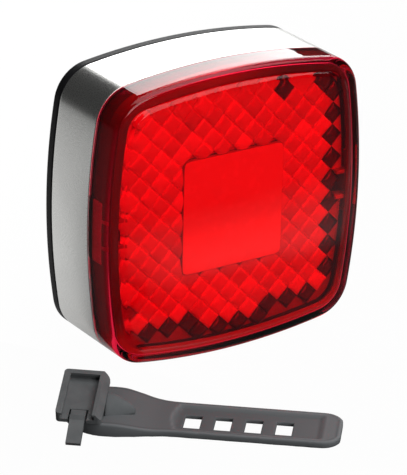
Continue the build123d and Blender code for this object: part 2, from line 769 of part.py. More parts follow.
# Strap: a rubber disc under the bracket that narrows to a tail with four holes
strap_flat = Plane(origin=(strap_x, strap_y, 0), x_dir=(turn_cos, turn_sin, 0), z_dir=(0, 0, 1))
strap_side = Plane(
    origin=(strap_x, strap_y, 0),
    x_dir=(turn_cos, turn_sin, 0),
    z_dir=(turn_sin, -turn_cos, 0),
)
stem_side_u = stem_u + stem_length / 2
stem_face = Plane(
    origin=strap_flat.from_local_coords(Vector(stem_side_u, stem_v, strap_disc_thick + gusset_rise)),
    x_dir=(-turn_sin, turn_cos, 0),
    z_dir=(turn_cos, turn_sin, 0),
)
with BuildPart() as strap:
    with BuildSketch(strap_flat):
        with BuildLine():
            Spline(
                (0, strap_disc_radius),
                (strap_waist, strap_tail_half),
                tangents=[(1, 0), (1, 0)],
            )
            Line((strap_waist, strap_tail_half), (tail_round_u, strap_tail_half))
            ThreePointArc(
                (tail_round_u, strap_tail_half),
                (tail_round_u + end_corner, -tail_round_v + end_corner),
                (strap_length, -tail_round_v),
            )
            Line((strap_length, -tail_round_v), (strap_length, tail_round_v))
            ThreePointArc(
                (strap_length, tail_round_v),
                (tail_round_u + end_corner, tail_round_v - end_corner),
                (tail_round_u, -strap_tail_half),
            )
            Line((tail_round_u, -strap_tail_half), (strap_waist, -strap_tail_half))
            Spline(
                (strap_waist, -strap_tail_half),
                (0, -strap_disc_radius),
                tangents=[(-1, 0), (-1, 0)],
            )
            ThreePointArc((0, -strap_disc_radius), (-strap_disc_radius, 0), (0, strap_disc_radius))
        make_face()
    extrude(amount=strap_disc_thick)
    # Seen from the side the disc is thick and the tail is thin
    with BuildSketch(strap_side):
        with BuildLine():
            Line((-strap_disc_radius - cut_over, 0), (-strap_disc_radius - cut_over, strap_disc_thick))
            Line((-strap_disc_radius - cut_over, strap_disc_thick), (strap_slope_start, strap_disc_thick))
            Spline(
                (strap_slope_start, strap_disc_thick),
                (strap_slope_end, strap_tail_thick),
                tangents=[(1, 0), (1, 0)],
            )
            Line((strap_slope_end, strap_tail_thick), (strap_length + cut_over, strap_tail_thick))
            Line((strap_length + cut_over, strap_tail_thick), (strap_length + cut_over, 0))
            Line((strap_length + cut_over, 0), (-strap_disc_radius - cut_over, 0))
        make_face()
    extrude(amount=strap_disc_radius + cut_over, both=True, mode=Mode.INTERSECT)
    # The sunk panel of the tail, which leaves a raised bead along the edges
    with BuildSketch(strap_flat.offset(strap_tail_thick)):
        with Locations(((sunk_start + sunk_end) / 2, 0)):
            RectangleRounded(sunk_end - sunk_start, 2 * (strap_tail_half - sunk_margin), sunk_round)
    extrude(amount=-sunk_depth, mode=Mode.SUBTRACT)
    with BuildSketch(strap_flat):
        with Locations(*[(hole_first + hole * hole_pitch, -hole_drop) for hole in range(hole_count)]):
            RectangleRounded(hole_along, hole_across, hole_round)
    extrude(amount=strap_tail_thick, mode=Mode.SUBTRACT)
    # The cone that fairs the bracket's stem into the disc
    with BuildSketch(stem_face):
        Ellipse(gusset_half_width, gusset_height)
    with BuildSketch(stem_face.offset(gusset_length)):
        Ellipse(gusset_tip_half_width, gusset_tip_height)
    loft()
    # The pocket for the hard insert, and the stepped hole for the screw from below
    with BuildSketch(strap_flat.offset(strap_disc_thick)):
        with Locations((stem_u, stem_v)):
            Circle(base_insert_radius)
    extrude(amount=-base_insert_thick, mode=Mode.SUBTRACT)
    with BuildSketch(strap_flat):
        with Locations((stem_u, stem_v)):
            Circle(mount_screw_radius + mount_hole_play)
    extrude(amount=strap_disc_thick, mode=Mode.SUBTRACT)
    with BuildSketch(strap_flat):
        with Locations((stem_u, stem_v)):
            Circle(mount_screw_head + mount_hole_play)
    extrude(amount=mount_screw_sunk + mount_screw_head_depth, mode=Mode.SUBTRACT)
strap.part.label = "strap"
export_step(strap.part, "parts/strap.step")

# Base insert: a hard disc in the strap's pocket that the bracket stands on
with BuildPart() as base_insert:
    with BuildSketch(strap_flat.offset(strap_disc_thick)):
        with Locations((stem_u, stem_v)):
            Circle(base_insert_radius)
            Circle(mount_screw_radius, mode=Mode.SUBTRACT)
    extrude(amount=-base_insert_thick)
base_insert.part.label = "base_insert"
export_step(base_insert.part, "parts/base_insert.step")

# Bracket tray on its stem: tilted towards the viewer, with lipped walls and an open near end
tray_plane = Plane(
    origin=strap_flat.from_local_coords(Vector(tray_u, tray_v, tray_top)),
    x_dir=(turn_cos, turn_sin, 0),
    z_dir=(turn_sin * tilt_sin, -turn_cos * tilt_sin, tilt_cos),
)
tray_end = Plane(origin=tray_plane.origin, x_dir=tray_plane.x_dir, z_dir=-tray_plane.y_dir)
with BuildPart() as bracket_tray:
    with BuildSketch(strap_flat.offset(strap_disc_thick)):
        with Locations((stem_u, stem_v)):
            RectangleRounded(stem_length, stem_width, stem_round)
    extrude(amount=tray_top)
    split(bisect_by=tray_plane.offset(-tray_under + tray_floor / 2), keep=Keep.BOTTOM)
    with BuildSketch(strap_flat.offset(strap_disc_thick)):
        with Locations((stem_u, stem_v)):
            Circle(mount_screw_radius)
    extrude(amount=mount_screw_bite, mode=Mode.SUBTRACT)
    with BuildSketch(tray_plane.offset(-tray_under)):
        RectangleRounded(tray_width, tray_length, tray_round)
    extrude(amount=tray_under)
    with BuildSketch(tray_end):
        with BuildLine():
            Polyline(
                (tray_width / 2 - tray_slope_width, 0),
                (tray_width / 2, 0),
                (tray_width / 2, -tray_slope_height),
                close=True,
            )
        make_face()
    extrude(amount=tray_length, both=True, mode=Mode.SUBTRACT)
    # The slot between the lips, and the wider cavity under them
    with BuildSketch(tray_plane.offset(-tray_wall_height)):
        with Locations((cavity_middle, -tray_far_wall)):
            Rectangle(cavity_width, tray_length)
    extrude(amount=tray_wall_height, mode=Mode.SUBTRACT)
    with BuildSketch(tray_plane.offset(-tray_wall_height)):
        with Locations((cavity_middle, -tray_far_wall + tray_lip)):
            Rectangle(cavity_width + 2 * tray_lip, tray_length)
    extrude(amount=tray_wall_height - tray_lip_thick, mode=Mode.SUBTRACT)
    # The cut-out in the floor that the release tongue lies in
    with BuildSketch(tray_plane.offset(-tray_under)):
        with Locations((cavity_middle, -tray_length / 2)):
            Rectangle(tongue_width + 2 * tongue_slot, 2 * tongue_length)
    extrude(amount=tray_under, mode=Mode.SUBTRACT)
bracket_tray.part.label = "bracket_tray"
export_step(bracket_tray.part, "parts/bracket_tray.step")

# Release tongue: a spring tongue in the tray's floor, with a catch and a lever bent down
tongue_side = Plane(
    origin=tray_plane.from_local_coords(Vector(cavity_middle, -tray_length / 2, -tray_wall_height)),
    x_dir=-tray_plane.y_dir,
    z_dir=-tray_plane.x_dir,
)
bend = radians(lever_drop_angle - tray_tilt)
lever_out = (lever_length * cos(bend), lever_length * sin(bend))
with BuildPart() as release_tongue:
    with BuildSketch(tongue_side):
        with BuildLine():
            Polyline(
                (tongue_gap - tongue_length, 0),
                (-tongue_catch_length, 0),
                (-tongue_catch_length, tongue_catch),
                (0, 0),
                (lever_out[0], -lever_out[1]),
                (lever_out[0] - lever_thick * sin(bend), -lever_out[1] - lever_thick * cos(bend)),
                (-lever_thick * sin(bend), -tray_floor),
                (tongue_gap - tongue_length, -tray_floor),
                close=True,
            )
        make_face()
    extrude(amount=tongue_width / 2, both=True)
release_tongue.part.label = "release_tongue"
export_step(release_tongue.part, "parts/release_tongue.step")

# Strap hook: a hard tab under the tray that the strap's holes are pulled over
with BuildPart() as strap_hook:
    with BuildSketch(strap_flat.offset(strap_disc_thick)):
        with Locations((stem_u - (stem_length + hook_reach) / 2, stem_v)):
            Rectangle(hook_reach, hook_width)
    extrude(amount=hook_thick)
    with BuildSketch(strap_flat.offset(strap_disc_thick)):
        with Locations((stem_u - stem_length / 2 - hook_reach + hook_lip / 2, stem_v)):
            Rectangle(hook_lip, hook_width)
    extrude(amount=hook_thick + hook_lip_rise)
strap_hook.part.label = "strap_hook"
export_step(strap_hook.part, "parts/strap_hook.step")

# Mount screw from below, through the strap and the insert into the stem
with BuildPart() as mount_screw:
    with BuildSketch(strap_flat.offset(mount_screw_sunk)):
        with Locations((stem_u, stem_v)):
            Circle(mount_screw_head)
    extrude(amount=mount_screw_head_depth)
    with BuildSketch(strap_flat.offset(mount_screw_sunk)):
        with Locations((stem_u, stem_v)):
            Circle(mount_screw_radius)
    extrude(amount=strap_disc_thick - mount_screw_sunk + mount_screw_bite)
mount_screw.part.label = "mount_screw"
export_step(mount_screw.part, "parts/mount_screw.step")
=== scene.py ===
import math

import bpy
import numpy as np
from mathutils import Matrix, Vector


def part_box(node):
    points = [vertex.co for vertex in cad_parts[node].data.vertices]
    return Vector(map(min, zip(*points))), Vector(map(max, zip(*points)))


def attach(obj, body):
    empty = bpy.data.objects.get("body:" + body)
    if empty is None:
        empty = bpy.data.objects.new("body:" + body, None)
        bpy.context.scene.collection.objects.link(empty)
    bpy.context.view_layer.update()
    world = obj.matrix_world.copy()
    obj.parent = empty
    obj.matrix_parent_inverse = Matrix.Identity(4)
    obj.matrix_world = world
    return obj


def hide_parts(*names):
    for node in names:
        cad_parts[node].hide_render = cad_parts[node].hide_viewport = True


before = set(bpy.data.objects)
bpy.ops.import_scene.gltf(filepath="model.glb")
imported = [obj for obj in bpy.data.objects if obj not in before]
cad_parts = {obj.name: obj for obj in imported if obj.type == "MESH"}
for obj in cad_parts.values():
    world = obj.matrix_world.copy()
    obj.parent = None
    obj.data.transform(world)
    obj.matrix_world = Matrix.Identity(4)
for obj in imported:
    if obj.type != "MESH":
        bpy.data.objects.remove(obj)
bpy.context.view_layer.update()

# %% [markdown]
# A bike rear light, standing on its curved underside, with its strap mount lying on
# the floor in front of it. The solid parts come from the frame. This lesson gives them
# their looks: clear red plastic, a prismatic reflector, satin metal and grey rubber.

MM = 0.001
LENS_TO_BAND = 0.00915

lens_low = np.array(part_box("lens_cover")[0])
band_low, band_high = (np.array(corner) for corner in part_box("metal_band"))
window_low, window_high = (np.array(corner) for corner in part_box("light_window"))
panel_low, panel_high = (np.array(corner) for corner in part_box("reflector_panel"))
lamp_middle = (band_low + band_high) / 2
lens_front = band_low[1] - LENS_TO_BAND
print("lamp", np.round(lens_low, 4), np.round(band_high, 4))

# %% [markdown]
# The camera comes first, because every finish is judged from it. The photograph was
# taken with a long lens from the front left and a little above, so the camera stands far
# away. Its three directions were fitted to the lamp's corners.

# %% Camera
RIGHT = Vector((0.83407, -0.55117, 0.02313)).normalized()
UP = Vector((0.19762, 0.33768, 0.92028)).normalized()
BACK = RIGHT.cross(UP)
FROM_LENS = Vector((-0.391234, -0.564759, 0.284174))
FOCAL_PIXELS = 3000
PHOTO_HEIGHT = 475
SENSOR = 36.0

camera_data = bpy.data.cameras.new("photo_camera")
camera_data.sensor_fit = "VERTICAL"
camera_data.sensor_height = SENSOR
camera_data.lens = FOCAL_PIXELS / PHOTO_HEIGHT * SENSOR
camera_data.clip_end = 20
camera = bpy.data.objects.new("photo_camera", camera_data)
bpy.context.collection.objects.link(camera)
turn = Matrix((RIGHT, UP, BACK)).transposed()
lens_middle = Vector((lamp_middle[0], lens_front, lamp_middle[2]))
camera.matrix_world = Matrix.Translation(lens_middle + FROM_LENS) @ turn.to_4x4()
bpy.context.scene.camera = camera

# %% [markdown]
# A material is a small network of nodes. These helpers make one and wire it up, so each
# finish below reads as a short recipe.

# %% Material helpers
def new_material(name):
    """An empty material with a Principled shader joined to its output."""
    material = bpy.data.materials.new(name)
    material.use_nodes = True
    nodes = material.node_tree.nodes
    nodes.clear()
    output = nodes.new("ShaderNodeOutputMaterial")
    shader = nodes.new("ShaderNodeBsdfPrincipled")
    material.node_tree.links.new(shader.outputs[0], output.inputs[0])
    return material, nodes, material.node_tree.links, shader


def object_place(nodes):
    """The Object coordinates, in metres."""
    return nodes.new("ShaderNodeTexCoord").outputs["Object"]


def axes_of(nodes, links, vector):
    """A vector's X, Y and Z."""
    split = nodes.new("ShaderNodeSeparateXYZ")
    links.new(vector, split.inputs[0])
    return split.outputs


def noise(nodes, links, scale, detail=3.0, rough=0.5):
    """Noise on Object coordinates; scale is in cycles per metre."""
    spots = nodes.new("ShaderNodeTexNoise")
    spots.inputs["Scale"].default_value = scale
    spots.inputs["Detail"].default_value = detail
    spots.inputs["Roughness"].default_value = rough
    links.new(object_place(nodes), spots.inputs["Vector"])
    return spots.outputs["Fac"]


def maths(nodes, links, operation, *values):
    """One Math node; each value is a number or another node's output."""
    step = nodes.new("ShaderNodeMath")
    step.operation = operation
    for socket, value in zip(step.inputs, values):
        if isinstance(value, float):
            socket.default_value = value
        else:
            links.new(value, socket)
    return step.outputs[0]


def span(nodes, links, value, low, high, from_low=0.3, from_high=0.7):
    """Stretch a value from one range to another, and clamp it to that range."""
    step = nodes.new("ShaderNodeMapRange")
    step.inputs["From Min"].default_value = from_low
    step.inputs["From Max"].default_value = from_high
    step.inputs["To Min"].default_value = low
    step.inputs["To Max"].default_value = high
    links.new(value, step.inputs["Value"])
    return step.outputs["Result"]


def colour_ramp(nodes, links, value, stops):
    """A colour that follows a value through stops of position and colour."""
    ramp = nodes.new("ShaderNodeValToRGB")
    elements = ramp.color_ramp.elements
    for element, (place, colour) in zip(elements, (stops[0], stops[-1])):
        element.position = place
        element.color = (*colour, 1)
    for place, colour in stops[1:-1]:
        elements.new(place).color = (*colour, 1)
    links.new(value, ramp.inputs["Fac"])
    return ramp.outputs["Color"]


def two_tone(nodes, links, value, dark, light, low=0.35, high=0.65):
    """A colour that runs from dark to light with a value."""
    return colour_ramp(nodes, links, value, ((low, dark), (high, light)))


def add_bump(nodes, links, shader, height, strength, distance):
    """Shallow relief from a height value, distance in metres."""
    bump = nodes.new("ShaderNodeBump")
    bump.inputs["Strength"].default_value = strength
    bump.inputs["Distance"].default_value = distance
    links.new(height, bump.inputs["Height"])
    links.new(bump.outputs["Normal"], shader.inputs["Normal"])


def send_mix(nodes, links, share, first, second):
    """Mix two shaders by a share, and send the mix to the output instead of the first."""
    mix = nodes.new("ShaderNodeMixShader")
    for socket, value in zip(mix.inputs, (share, first, second)):
        links.new(value, socket)
    output = next(node for node in nodes if node.type == "OUTPUT_MATERIAL")
    links.new(mix.outputs[0], output.inputs[0])


GRAIN_RELIEF = 0.00004


def grained(name, dark, light, rough, grain, metal=0.0, spec=0.5):
    """A finish with fine grain: two close tones, an uneven gloss and a shallow relief."""
    material, nodes, links, shader = new_material(name)
    cloud = noise(nodes, links, grain / 12, 2.0)
    links.new(two_tone(nodes, links, cloud, dark, light), shader.inputs["Base Color"])
    fine = noise(nodes, links, grain, 3.0, 0.6)
    links.new(span(nodes, links, fine, *rough), shader.inputs["Roughness"])
    shader.inputs["Metallic"].default_value = metal
    shader.inputs["Specular IOR Level"].default_value = spec
    add_bump(nodes, links, shader, fine, 0.5, GRAIN_RELIEF)
    return material


def dress(node, material):
    """Give a solid part its finish."""
    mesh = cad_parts[node].data
    mesh.materials.clear()
    mesh.materials.append(material)

# %% [markdown]
# The hard and soft parts behind the lens and under it are moulded plastic, rubber, plated
# steel and board. Each gets a grain at its own scale, since moulded plastic is never
# perfectly even. The table gives each finish's two tones, its range of roughness, its
# grain in cycles per metre, what else is special, and the parts that wear it.

# %% Finishes of the solid parts
FINISHES = {
    "cover_black": ((0.0095, 0.0095, 0.0105), (0.0115, 0.0115, 0.0125), (0.42, 0.55), 4200,
                    {"spec": 0.1}, ("back_cover",)),
    "chassis_black": ((0.03, 0.006, 0.008), (0.05, 0.009, 0.012), (0.25, 0.4), 3800,
                      {}, ("inner_chassis",)),
    "seal_black": ((0.012, 0.012, 0.012), (0.02, 0.02, 0.02), (0.55, 0.7), 5200,
                   {}, ("cover_gasket", "lens_seal", "button_seal")),
    "rail_black": ((0.02, 0.02, 0.021), (0.026, 0.026, 0.027), (0.35, 0.48), 4600,
                   {}, ("rear_rail",)),
    "button_black": ((0.026, 0.026, 0.027), (0.032, 0.032, 0.033), (0.55, 0.72), 5200,
                     {}, ("power_button",)),
    "screw_dark": ((0.05, 0.05, 0.05), (0.09, 0.09, 0.09), (0.3, 0.45), 6000,
                   {"metal": 1.0}, ("cover_screws", "rail_screws")),
    "screw_steel": ((0.5, 0.5, 0.5), (0.62, 0.62, 0.6), (0.25, 0.4), 6000,
                    {"metal": 1.0}, ("board_screws", "switch_screws", "mount_screw")),
    "contact_plate": ((0.6, 0.59, 0.56), (0.72, 0.7, 0.66), (0.22, 0.36), 5000, {"metal": 1.0},
                      ("spring_left", "spring_right", "contact_bridge", "battery_contacts")),
    "battery_can": ((0.34, 0.35, 0.37), (0.42, 0.43, 0.45), (0.3, 0.42), 900,
                    {}, ("battery_left", "battery_right")),
    "board_white": ((0.66, 0.66, 0.63), (0.75, 0.75, 0.72), (0.35, 0.5), 2400,
                    {}, ("led_board",)),
    "board_green": ((0.02, 0.11, 0.05), (0.03, 0.16, 0.07), (0.3, 0.45), 2400,
                    {}, ("switch_board",)),
    "led_white": ((0.78, 0.76, 0.66), (0.86, 0.84, 0.76), (0.2, 0.3), 2400,
                  {}, ("leds",)),
    "chip_black": ((0.02, 0.02, 0.02), (0.035, 0.035, 0.035), (0.4, 0.55), 5000,
                   {}, ("board_chips", "tact_switch")),
    "bracket_grey": ((0.086, 0.091, 0.094), (0.104, 0.109, 0.112), (0.42, 0.54), 4200,
                     {"spec": 0.4}, ("base_insert", "bracket_tray", "strap_hook",
                                     "release_tongue")),
    "strap_grey": ((0.096, 0.102, 0.106), (0.108, 0.114, 0.118), (0.6, 0.75), 4800,
                   {"spec": 0.1}, ("strap",)),
}
finishes = {}
for name, (dark, light, rough, grain, special, worn_by) in FINISHES.items():
    finishes[name] = grained(name, dark, light, rough, grain, **special)
    for node in worn_by:
        dress(node, finishes[name])

# %% [markdown]
# The lamp's outline is a square whose four sides bulge as arcs, joined by four round
# corners. A line drawn a little further in follows the same arc centres with smaller
# radii, so one table of centres, radii and directions gives every line of the lamp.

# %% The outline as a table of arcs
WIDE = (band_high[0] - band_low[0]) / 2
HIGH = (band_high[2] - band_low[2]) / 2
BULGE = 0.0035
CORNER = 0.0102
HALF_TURN = math.pi


def side_radius(half):
    """Radius of a bulged side's circle, from half the lamp's size along that side."""
    flat = half - BULGE
    return (flat * flat + BULGE * BULGE) / (2 * BULGE)


def outline_table(side_steps=40, corner_steps=16):
    """Arc centre, radius and outward direction at each step round the lamp, anticlockwise."""
    def arc(centre, radius, start_angle, end_angle, count):
        return centre, radius, np.linspace(start_angle, end_angle, count, endpoint=False)

    radius_x = side_radius(HIGH)
    radius_z = side_radius(WIDE)
    start = np.array([WIDE - radius_x, 0.0])
    top = np.array([0.0, HIGH - radius_z])
    apart = np.hypot(start[0], top[1])
    along = ((radius_x - CORNER) ** 2 - (radius_z - CORNER) ** 2 + apart**2) / (2 * apart)
    across = math.sqrt((radius_x - CORNER) ** 2 - along**2)
    unit = np.array([-start[0], top[1]]) / apart
    corner = start + along * unit + across * np.array([-unit[1], unit[0]])
    side = math.atan2(corner[1], corner[0] - start[0])
    over = math.atan2(corner[1] - top[1], corner[0])
    pieces = (
        arc(start, radius_x, -side, side, side_steps),
        arc(corner, CORNER, side, over, corner_steps),
        arc(top, radius_z, over, HALF_TURN - over, side_steps),
        arc(corner * (-1, 1), CORNER, HALF_TURN - over, HALF_TURN - side, corner_steps),
        arc(-start, radius_x, HALF_TURN - side, HALF_TURN + side, side_steps),
        arc(-corner, CORNER, HALF_TURN + side, HALF_TURN + over, corner_steps),
        arc(-top, radius_z, HALF_TURN + over, 2 * HALF_TURN - over, side_steps),
        arc(corner * (1, -1), CORNER, -over, -side, corner_steps),
    )
    centres = np.concatenate([np.tile(c, (len(a), 1)) for c, r, a in pieces])
    radii = np.concatenate([np.full(len(a), r) for c, r, a in pieces])
    angles = np.concatenate([a for c, r, a in pieces])
    return centres, radii, np.column_stack([np.cos(angles), np.sin(angles)])


CENTRES, RADII, OUTWARD = outline_table()
OUTLINE = CENTRES + RADII[:, None] * OUTWARD
STEPS = len(RADII)


def upright(flat, depth):
    """Points in the lamp's upright plane, at a depth in the frame; flat is x and z."""
    deep = np.full(len(flat), depth)
    return np.column_stack([lamp_middle[0] + flat[:, 0], deep, lamp_middle[2] + flat[:, 1]])


def ring(inset, depth, shrink=1.0):
    """Points round the lamp, inset from its outline, at a depth behind the lens rim."""
    flat = (CENTRES + (RADII - inset)[:, None] * OUTWARD) * shrink
    return upright(flat, lens_front + depth)


print("outline steps", STEPS, "corner check", np.round(ring(0, 0).max(axis=0), 5))

# %% [markdown]
# A profile carried along that outline makes a closed surface: each profile point is one
# ring, and rings are joined by quads. The same helpers make the metal band, the lens and
# the black back.

# %% From rings to a mesh
def volume(points, faces):
    """Signed volume of a closed mesh: a sixth of the triple products of its triangles."""
    fans = [faces[:, [0, k, k + 1]] for k in range(1, faces.shape[1] - 1)]
    a, b, c = (points[np.concatenate(fans)][:, k] for k in range(3))
    return np.einsum("ij,ij->i", a, np.cross(b, c)).sum() / 6


def mesh_object(name, points, faces, material, smooth=True):
    """A closed mesh placed by its vertices; the sign of its volume turns its faces out."""
    mesh = bpy.data.meshes.new(name)
    if volume(points - points.mean(axis=0), faces) < 0:
        faces = faces[:, ::-1]
    corners = [[k for n, k in enumerate(face) if k != face[n - 1]] for face in faces.tolist()]
    mesh.from_pydata(points.tolist(), [], corners)
    mesh.polygons.foreach_set("use_smooth", np.full(len(mesh.polygons), smooth))
    mesh.materials.append(material)
    mesh.update()
    piece = bpy.data.objects.new(name, mesh)
    bpy.context.collection.objects.link(piece)
    return piece


def add_second_finish(piece, material, chosen):
    """Give the chosen faces of a piece a second finish."""
    piece.data.materials.append(material)
    piece.data.polygons.foreach_set("material_index", chosen.astype(np.int32))


def add_tone(piece, name, values):
    """Store one value for each point, for the finish to read."""
    layer = piece.data.attributes.new(name, "FLOAT", "POINT")
    layer.data.foreach_set("value", values.astype(np.float32))


def ring_faces(rows, steps, closed=False):
    """Quads between neighbouring rings of a grid that wraps round; closed joins the ends."""
    row = np.arange(rows if closed else rows - 1)
    i, j = np.meshgrid(row, np.arange(steps), indexing="ij")
    k = (i + 1) % rows
    n = (j + 1) % steps
    quads = [i * steps + j, i * steps + n, k * steps + n, k * steps + j]
    return np.stack(quads, axis=-1).reshape(-1, 4)


def profile_rings(profile):
    """One ring for each profile point of inset and depth in millimetres."""
    return [ring(inset * MM, depth * MM) for inset, depth in profile]


def ring_object(name, rings, material, smooth=True):
    """A mesh round the lamp whose last ring joins its first."""
    faces = ring_faces(len(rings), STEPS, True)
    return mesh_object(name, np.concatenate(rings), faces, material, smooth)


def closed_shell(rings, start, end):
    """Rings from one middle point to another; the outer rings close on those points."""
    count = len(rings[0])
    points = np.concatenate([[start], *rings, [end]])
    body = ring_faces(len(rings), count) + 1
    k = np.arange(count)
    n = (k + 1) % count
    first = np.stack([np.zeros_like(k), np.zeros_like(k), n + 1, k + 1], axis=-1)
    tail = 1 + (len(rings) - 1) * count
    tip = np.full(count, len(points) - 1)
    last = np.stack([tail + k, tail + n, tip, tip], axis=-1)
    return points, np.concatenate([first, body, last])


def arc_profile(centre, radius, start, end, count=8):
    """Inset and depth along part of a circle, from angle start to end in degrees."""
    angles = np.radians(np.linspace(start, end, count))
    return [(centre[0] + radius * math.cos(a), centre[1] + radius * math.sin(a)) for a in angles]

# %% [markdown]
# The lens is clear red plastic. Light is tinted each time that it passes a wall, so the
# sides look almost black where one looks through several walls, and bright red where the
# reflector is close behind. Shadows pass through it, or the reflector would stay dark. Its
# index is lower than a real plastic's, which keeps the reflections on it weak.

# %% Clear red plastic
LENS_TINT = (0.76, 0.012, 0.048, 1)
SHADOW_TINT = (1.0, 0.3, 0.32, 1)
LENS_INDEX = 1.32


def clear_red():
    """Tinted glass for every ray but a shadow ray, which is only tinted."""
    material, nodes, links, shader = new_material("lens_red")
    shader.inputs["Base Color"].default_value = LENS_TINT
    shader.inputs["Transmission Weight"].default_value = 1.0
    shader.inputs["IOR"].default_value = LENS_INDEX
    shader.inputs["Roughness"].default_value = 0.02
    shader.inputs["Specular IOR Level"].default_value = 0.15
    wave = noise(nodes, links, 160, 1.0)
    add_bump(nodes, links, shader, wave, 0.15, 0.0002)
    see = nodes.new("ShaderNodeBsdfTransparent")
    see.inputs["Color"].default_value = SHADOW_TINT
    ray = nodes.new("ShaderNodeLightPath").outputs
    send_mix(nodes, links, ray["Is Shadow Ray"], shader.outputs[0], see.outputs[0])
    return material


lens_red = clear_red()

# %% The lens: face, bevel, round rim, skirt and hollow
FACE_INSET, FACE_RISE, FACE_CROWN = 4.5, 0.9, 0.5
HOLLOW_INSET, WALL = 4.6, 2.0

face_to_skirt = [(FACE_INSET, -FACE_RISE), (4.36, -0.84), (3.66, -0.1), (3.5, 0.0), (2.6, 0.0)]
face_to_skirt += arc_profile((1.9, 1.9), 1.9, 270, 180, 12)
face_to_skirt += [(0, 2.1), (0, 5.0), (0, 8.7), (0, 8.9), (0.1, 9.0), (1.9, 9.0), (2.0, 8.9)]
face_to_skirt += [(2.0, 2.6), (2.15, 2.15), (2.6, 2.0), (HOLLOW_INSET, WALL)]
dome = np.linspace(0.06, 0.98, 16)
lens_rings = [ring(FACE_INSET * MM, (-FACE_RISE - FACE_CROWN * (1 - s * s)) * MM, s)
              for s in dome]
lens_rings += profile_rings(face_to_skirt)
lens_rings += [ring(HOLLOW_INSET * MM, WALL * MM, s) for s in dome[::-1]]
centre = np.array([lamp_middle[0], lens_front, lamp_middle[2]])
face_tip = centre + (0, -(FACE_RISE + FACE_CROWN) * MM, 0)
lens = mesh_object("lens_shell", *closed_shell(lens_rings, face_tip, centre + (0, WALL * MM, 0)),
                   lens_red)
print("lens rings", len(lens_rings))

# %% [markdown]
# A latch pad stands on each side wall inside the lens, and snaps into the chassis. Through
# the clear skirt it shows as a paler bar with two ribs. One helper makes any small block
# with round corners: a rounded rectangle is carried through it and drawn in at both ends.

# %% Latch pads
def squared_circle(half_x, half_z, angles, power):
    """A superellipse of exponent 2/power: the smaller the power, the squarer it is."""
    c, s = np.cos(angles), np.sin(angles)
    x = half_x * np.sign(c) * np.abs(c) ** power
    z = half_z * np.sign(s) * np.abs(s) ** power
    return x, z


def rounded_block(low, high, power, edge, count=32):
    """A closed block along y; a quarter circle of radius edge draws it in at each end."""
    low, high = np.array(low, float), np.array(high, float)
    middle = (low + high) / 2
    half = (high - low) / 2
    angles = 2 * math.pi * np.arange(count) / count
    bend = np.linspace(0, math.pi / 2, 4)
    pulls = [(edge * (1 - math.sin(t)), low[1] + edge * (1 - math.cos(t))) for t in bend]
    pulls += [(edge * (1 - math.cos(t)), high[1] - edge * (1 - math.sin(t))) for t in bend]
    rings = []
    for pull, y in pulls:
        x, z = squared_circle(half[0] - pull, half[2] - pull, angles, power)
        rings.append(np.column_stack([middle[0] + x, np.full(count, y), middle[2] + z]))
    start = np.array([middle[0], low[1], middle[2]])
    end = np.array([middle[0], high[1], middle[2]])
    return closed_shell(rings, start, end)


def joined(blocks):
    """Several closed shells as one set of points and faces."""
    counts = np.cumsum([0] + [len(points) for points, faces in blocks[:-1]])
    return (np.concatenate([points for points, faces in blocks]),
            np.concatenate([faces + start for (points, faces), start in zip(blocks, counts)]))


PAD_HALF, RIB_AT, RIB_HALF = 8 * MM, 3.4 * MM, 0.5 * MM
PAD_EDGE = 0.15 * MM

latch_red = grained("latch_red", (0.26, 0.01, 0.04), (0.34, 0.015, 0.06), (0.2, 0.3), 2200)
parts = [((WIDE - 3.2 * MM, lens_front + 4.4 * MM, -PAD_HALF),
          (WIDE - 1.8 * MM, lens_front + 8.4 * MM, PAD_HALF), 0.15)]
for rise in (-RIB_AT, RIB_AT):
    parts.append(((WIDE - 6.9 * MM, lens_front + 2.6 * MM, rise - RIB_HALF),
                  (WIDE - 1.9 * MM, lens_front + 6.0 * MM, rise + RIB_HALF), 0.2))
latch_blocks = []
for side in (-1, 1):
    for low, high, power in parts:
        points, faces = rounded_block(low, high, power, PAD_EDGE)
        points = points * (side, 1, 1) + (lamp_middle[0], 0, lamp_middle[2])
        latch_blocks.append((points, faces[:, ::side]))
latches = mesh_object("latch_pads", *joined(latch_blocks), latch_red)

# %% [markdown]
# The band is a strip of satin steel, 0.8 mm thick. Its edges are rounded a little, since
# no rolled strip has a perfectly sharp edge, and that thin line catches the light.

# %% Satin metal
def satin_metal():
    """Grey metal with a very fine, even satin."""
    material, nodes, links, shader = new_material("band_satin")
    cloud = noise(nodes, links, 30, 2.0)
    tone = two_tone(nodes, links, cloud, (0.60, 0.60, 0.585), (0.68, 0.68, 0.66))
    links.new(tone, shader.inputs["Base Color"])
    shader.inputs["Metallic"].default_value = 1.0
    satin = noise(nodes, links, 5200, 3.0, 0.6)
    links.new(span(nodes, links, satin, 0.25, 0.31), shader.inputs["Roughness"])
    add_bump(nodes, links, shader, satin, 0.1, 0.00001)
    return material


band_satin = satin_metal()

# %% The metal band
band_profile = [(0.8, 9.15), (0.12, 9.15), (0.04, 9.19), (0, 9.27), (0, 9.45), (0, 17.5)]
band_profile += [(0, 25.85), (0, 26.03), (0.04, 26.11), (0.12, 26.15), (0.8, 26.15)]
band = ring_object("band_sheet", profile_rings(band_profile), band_satin)
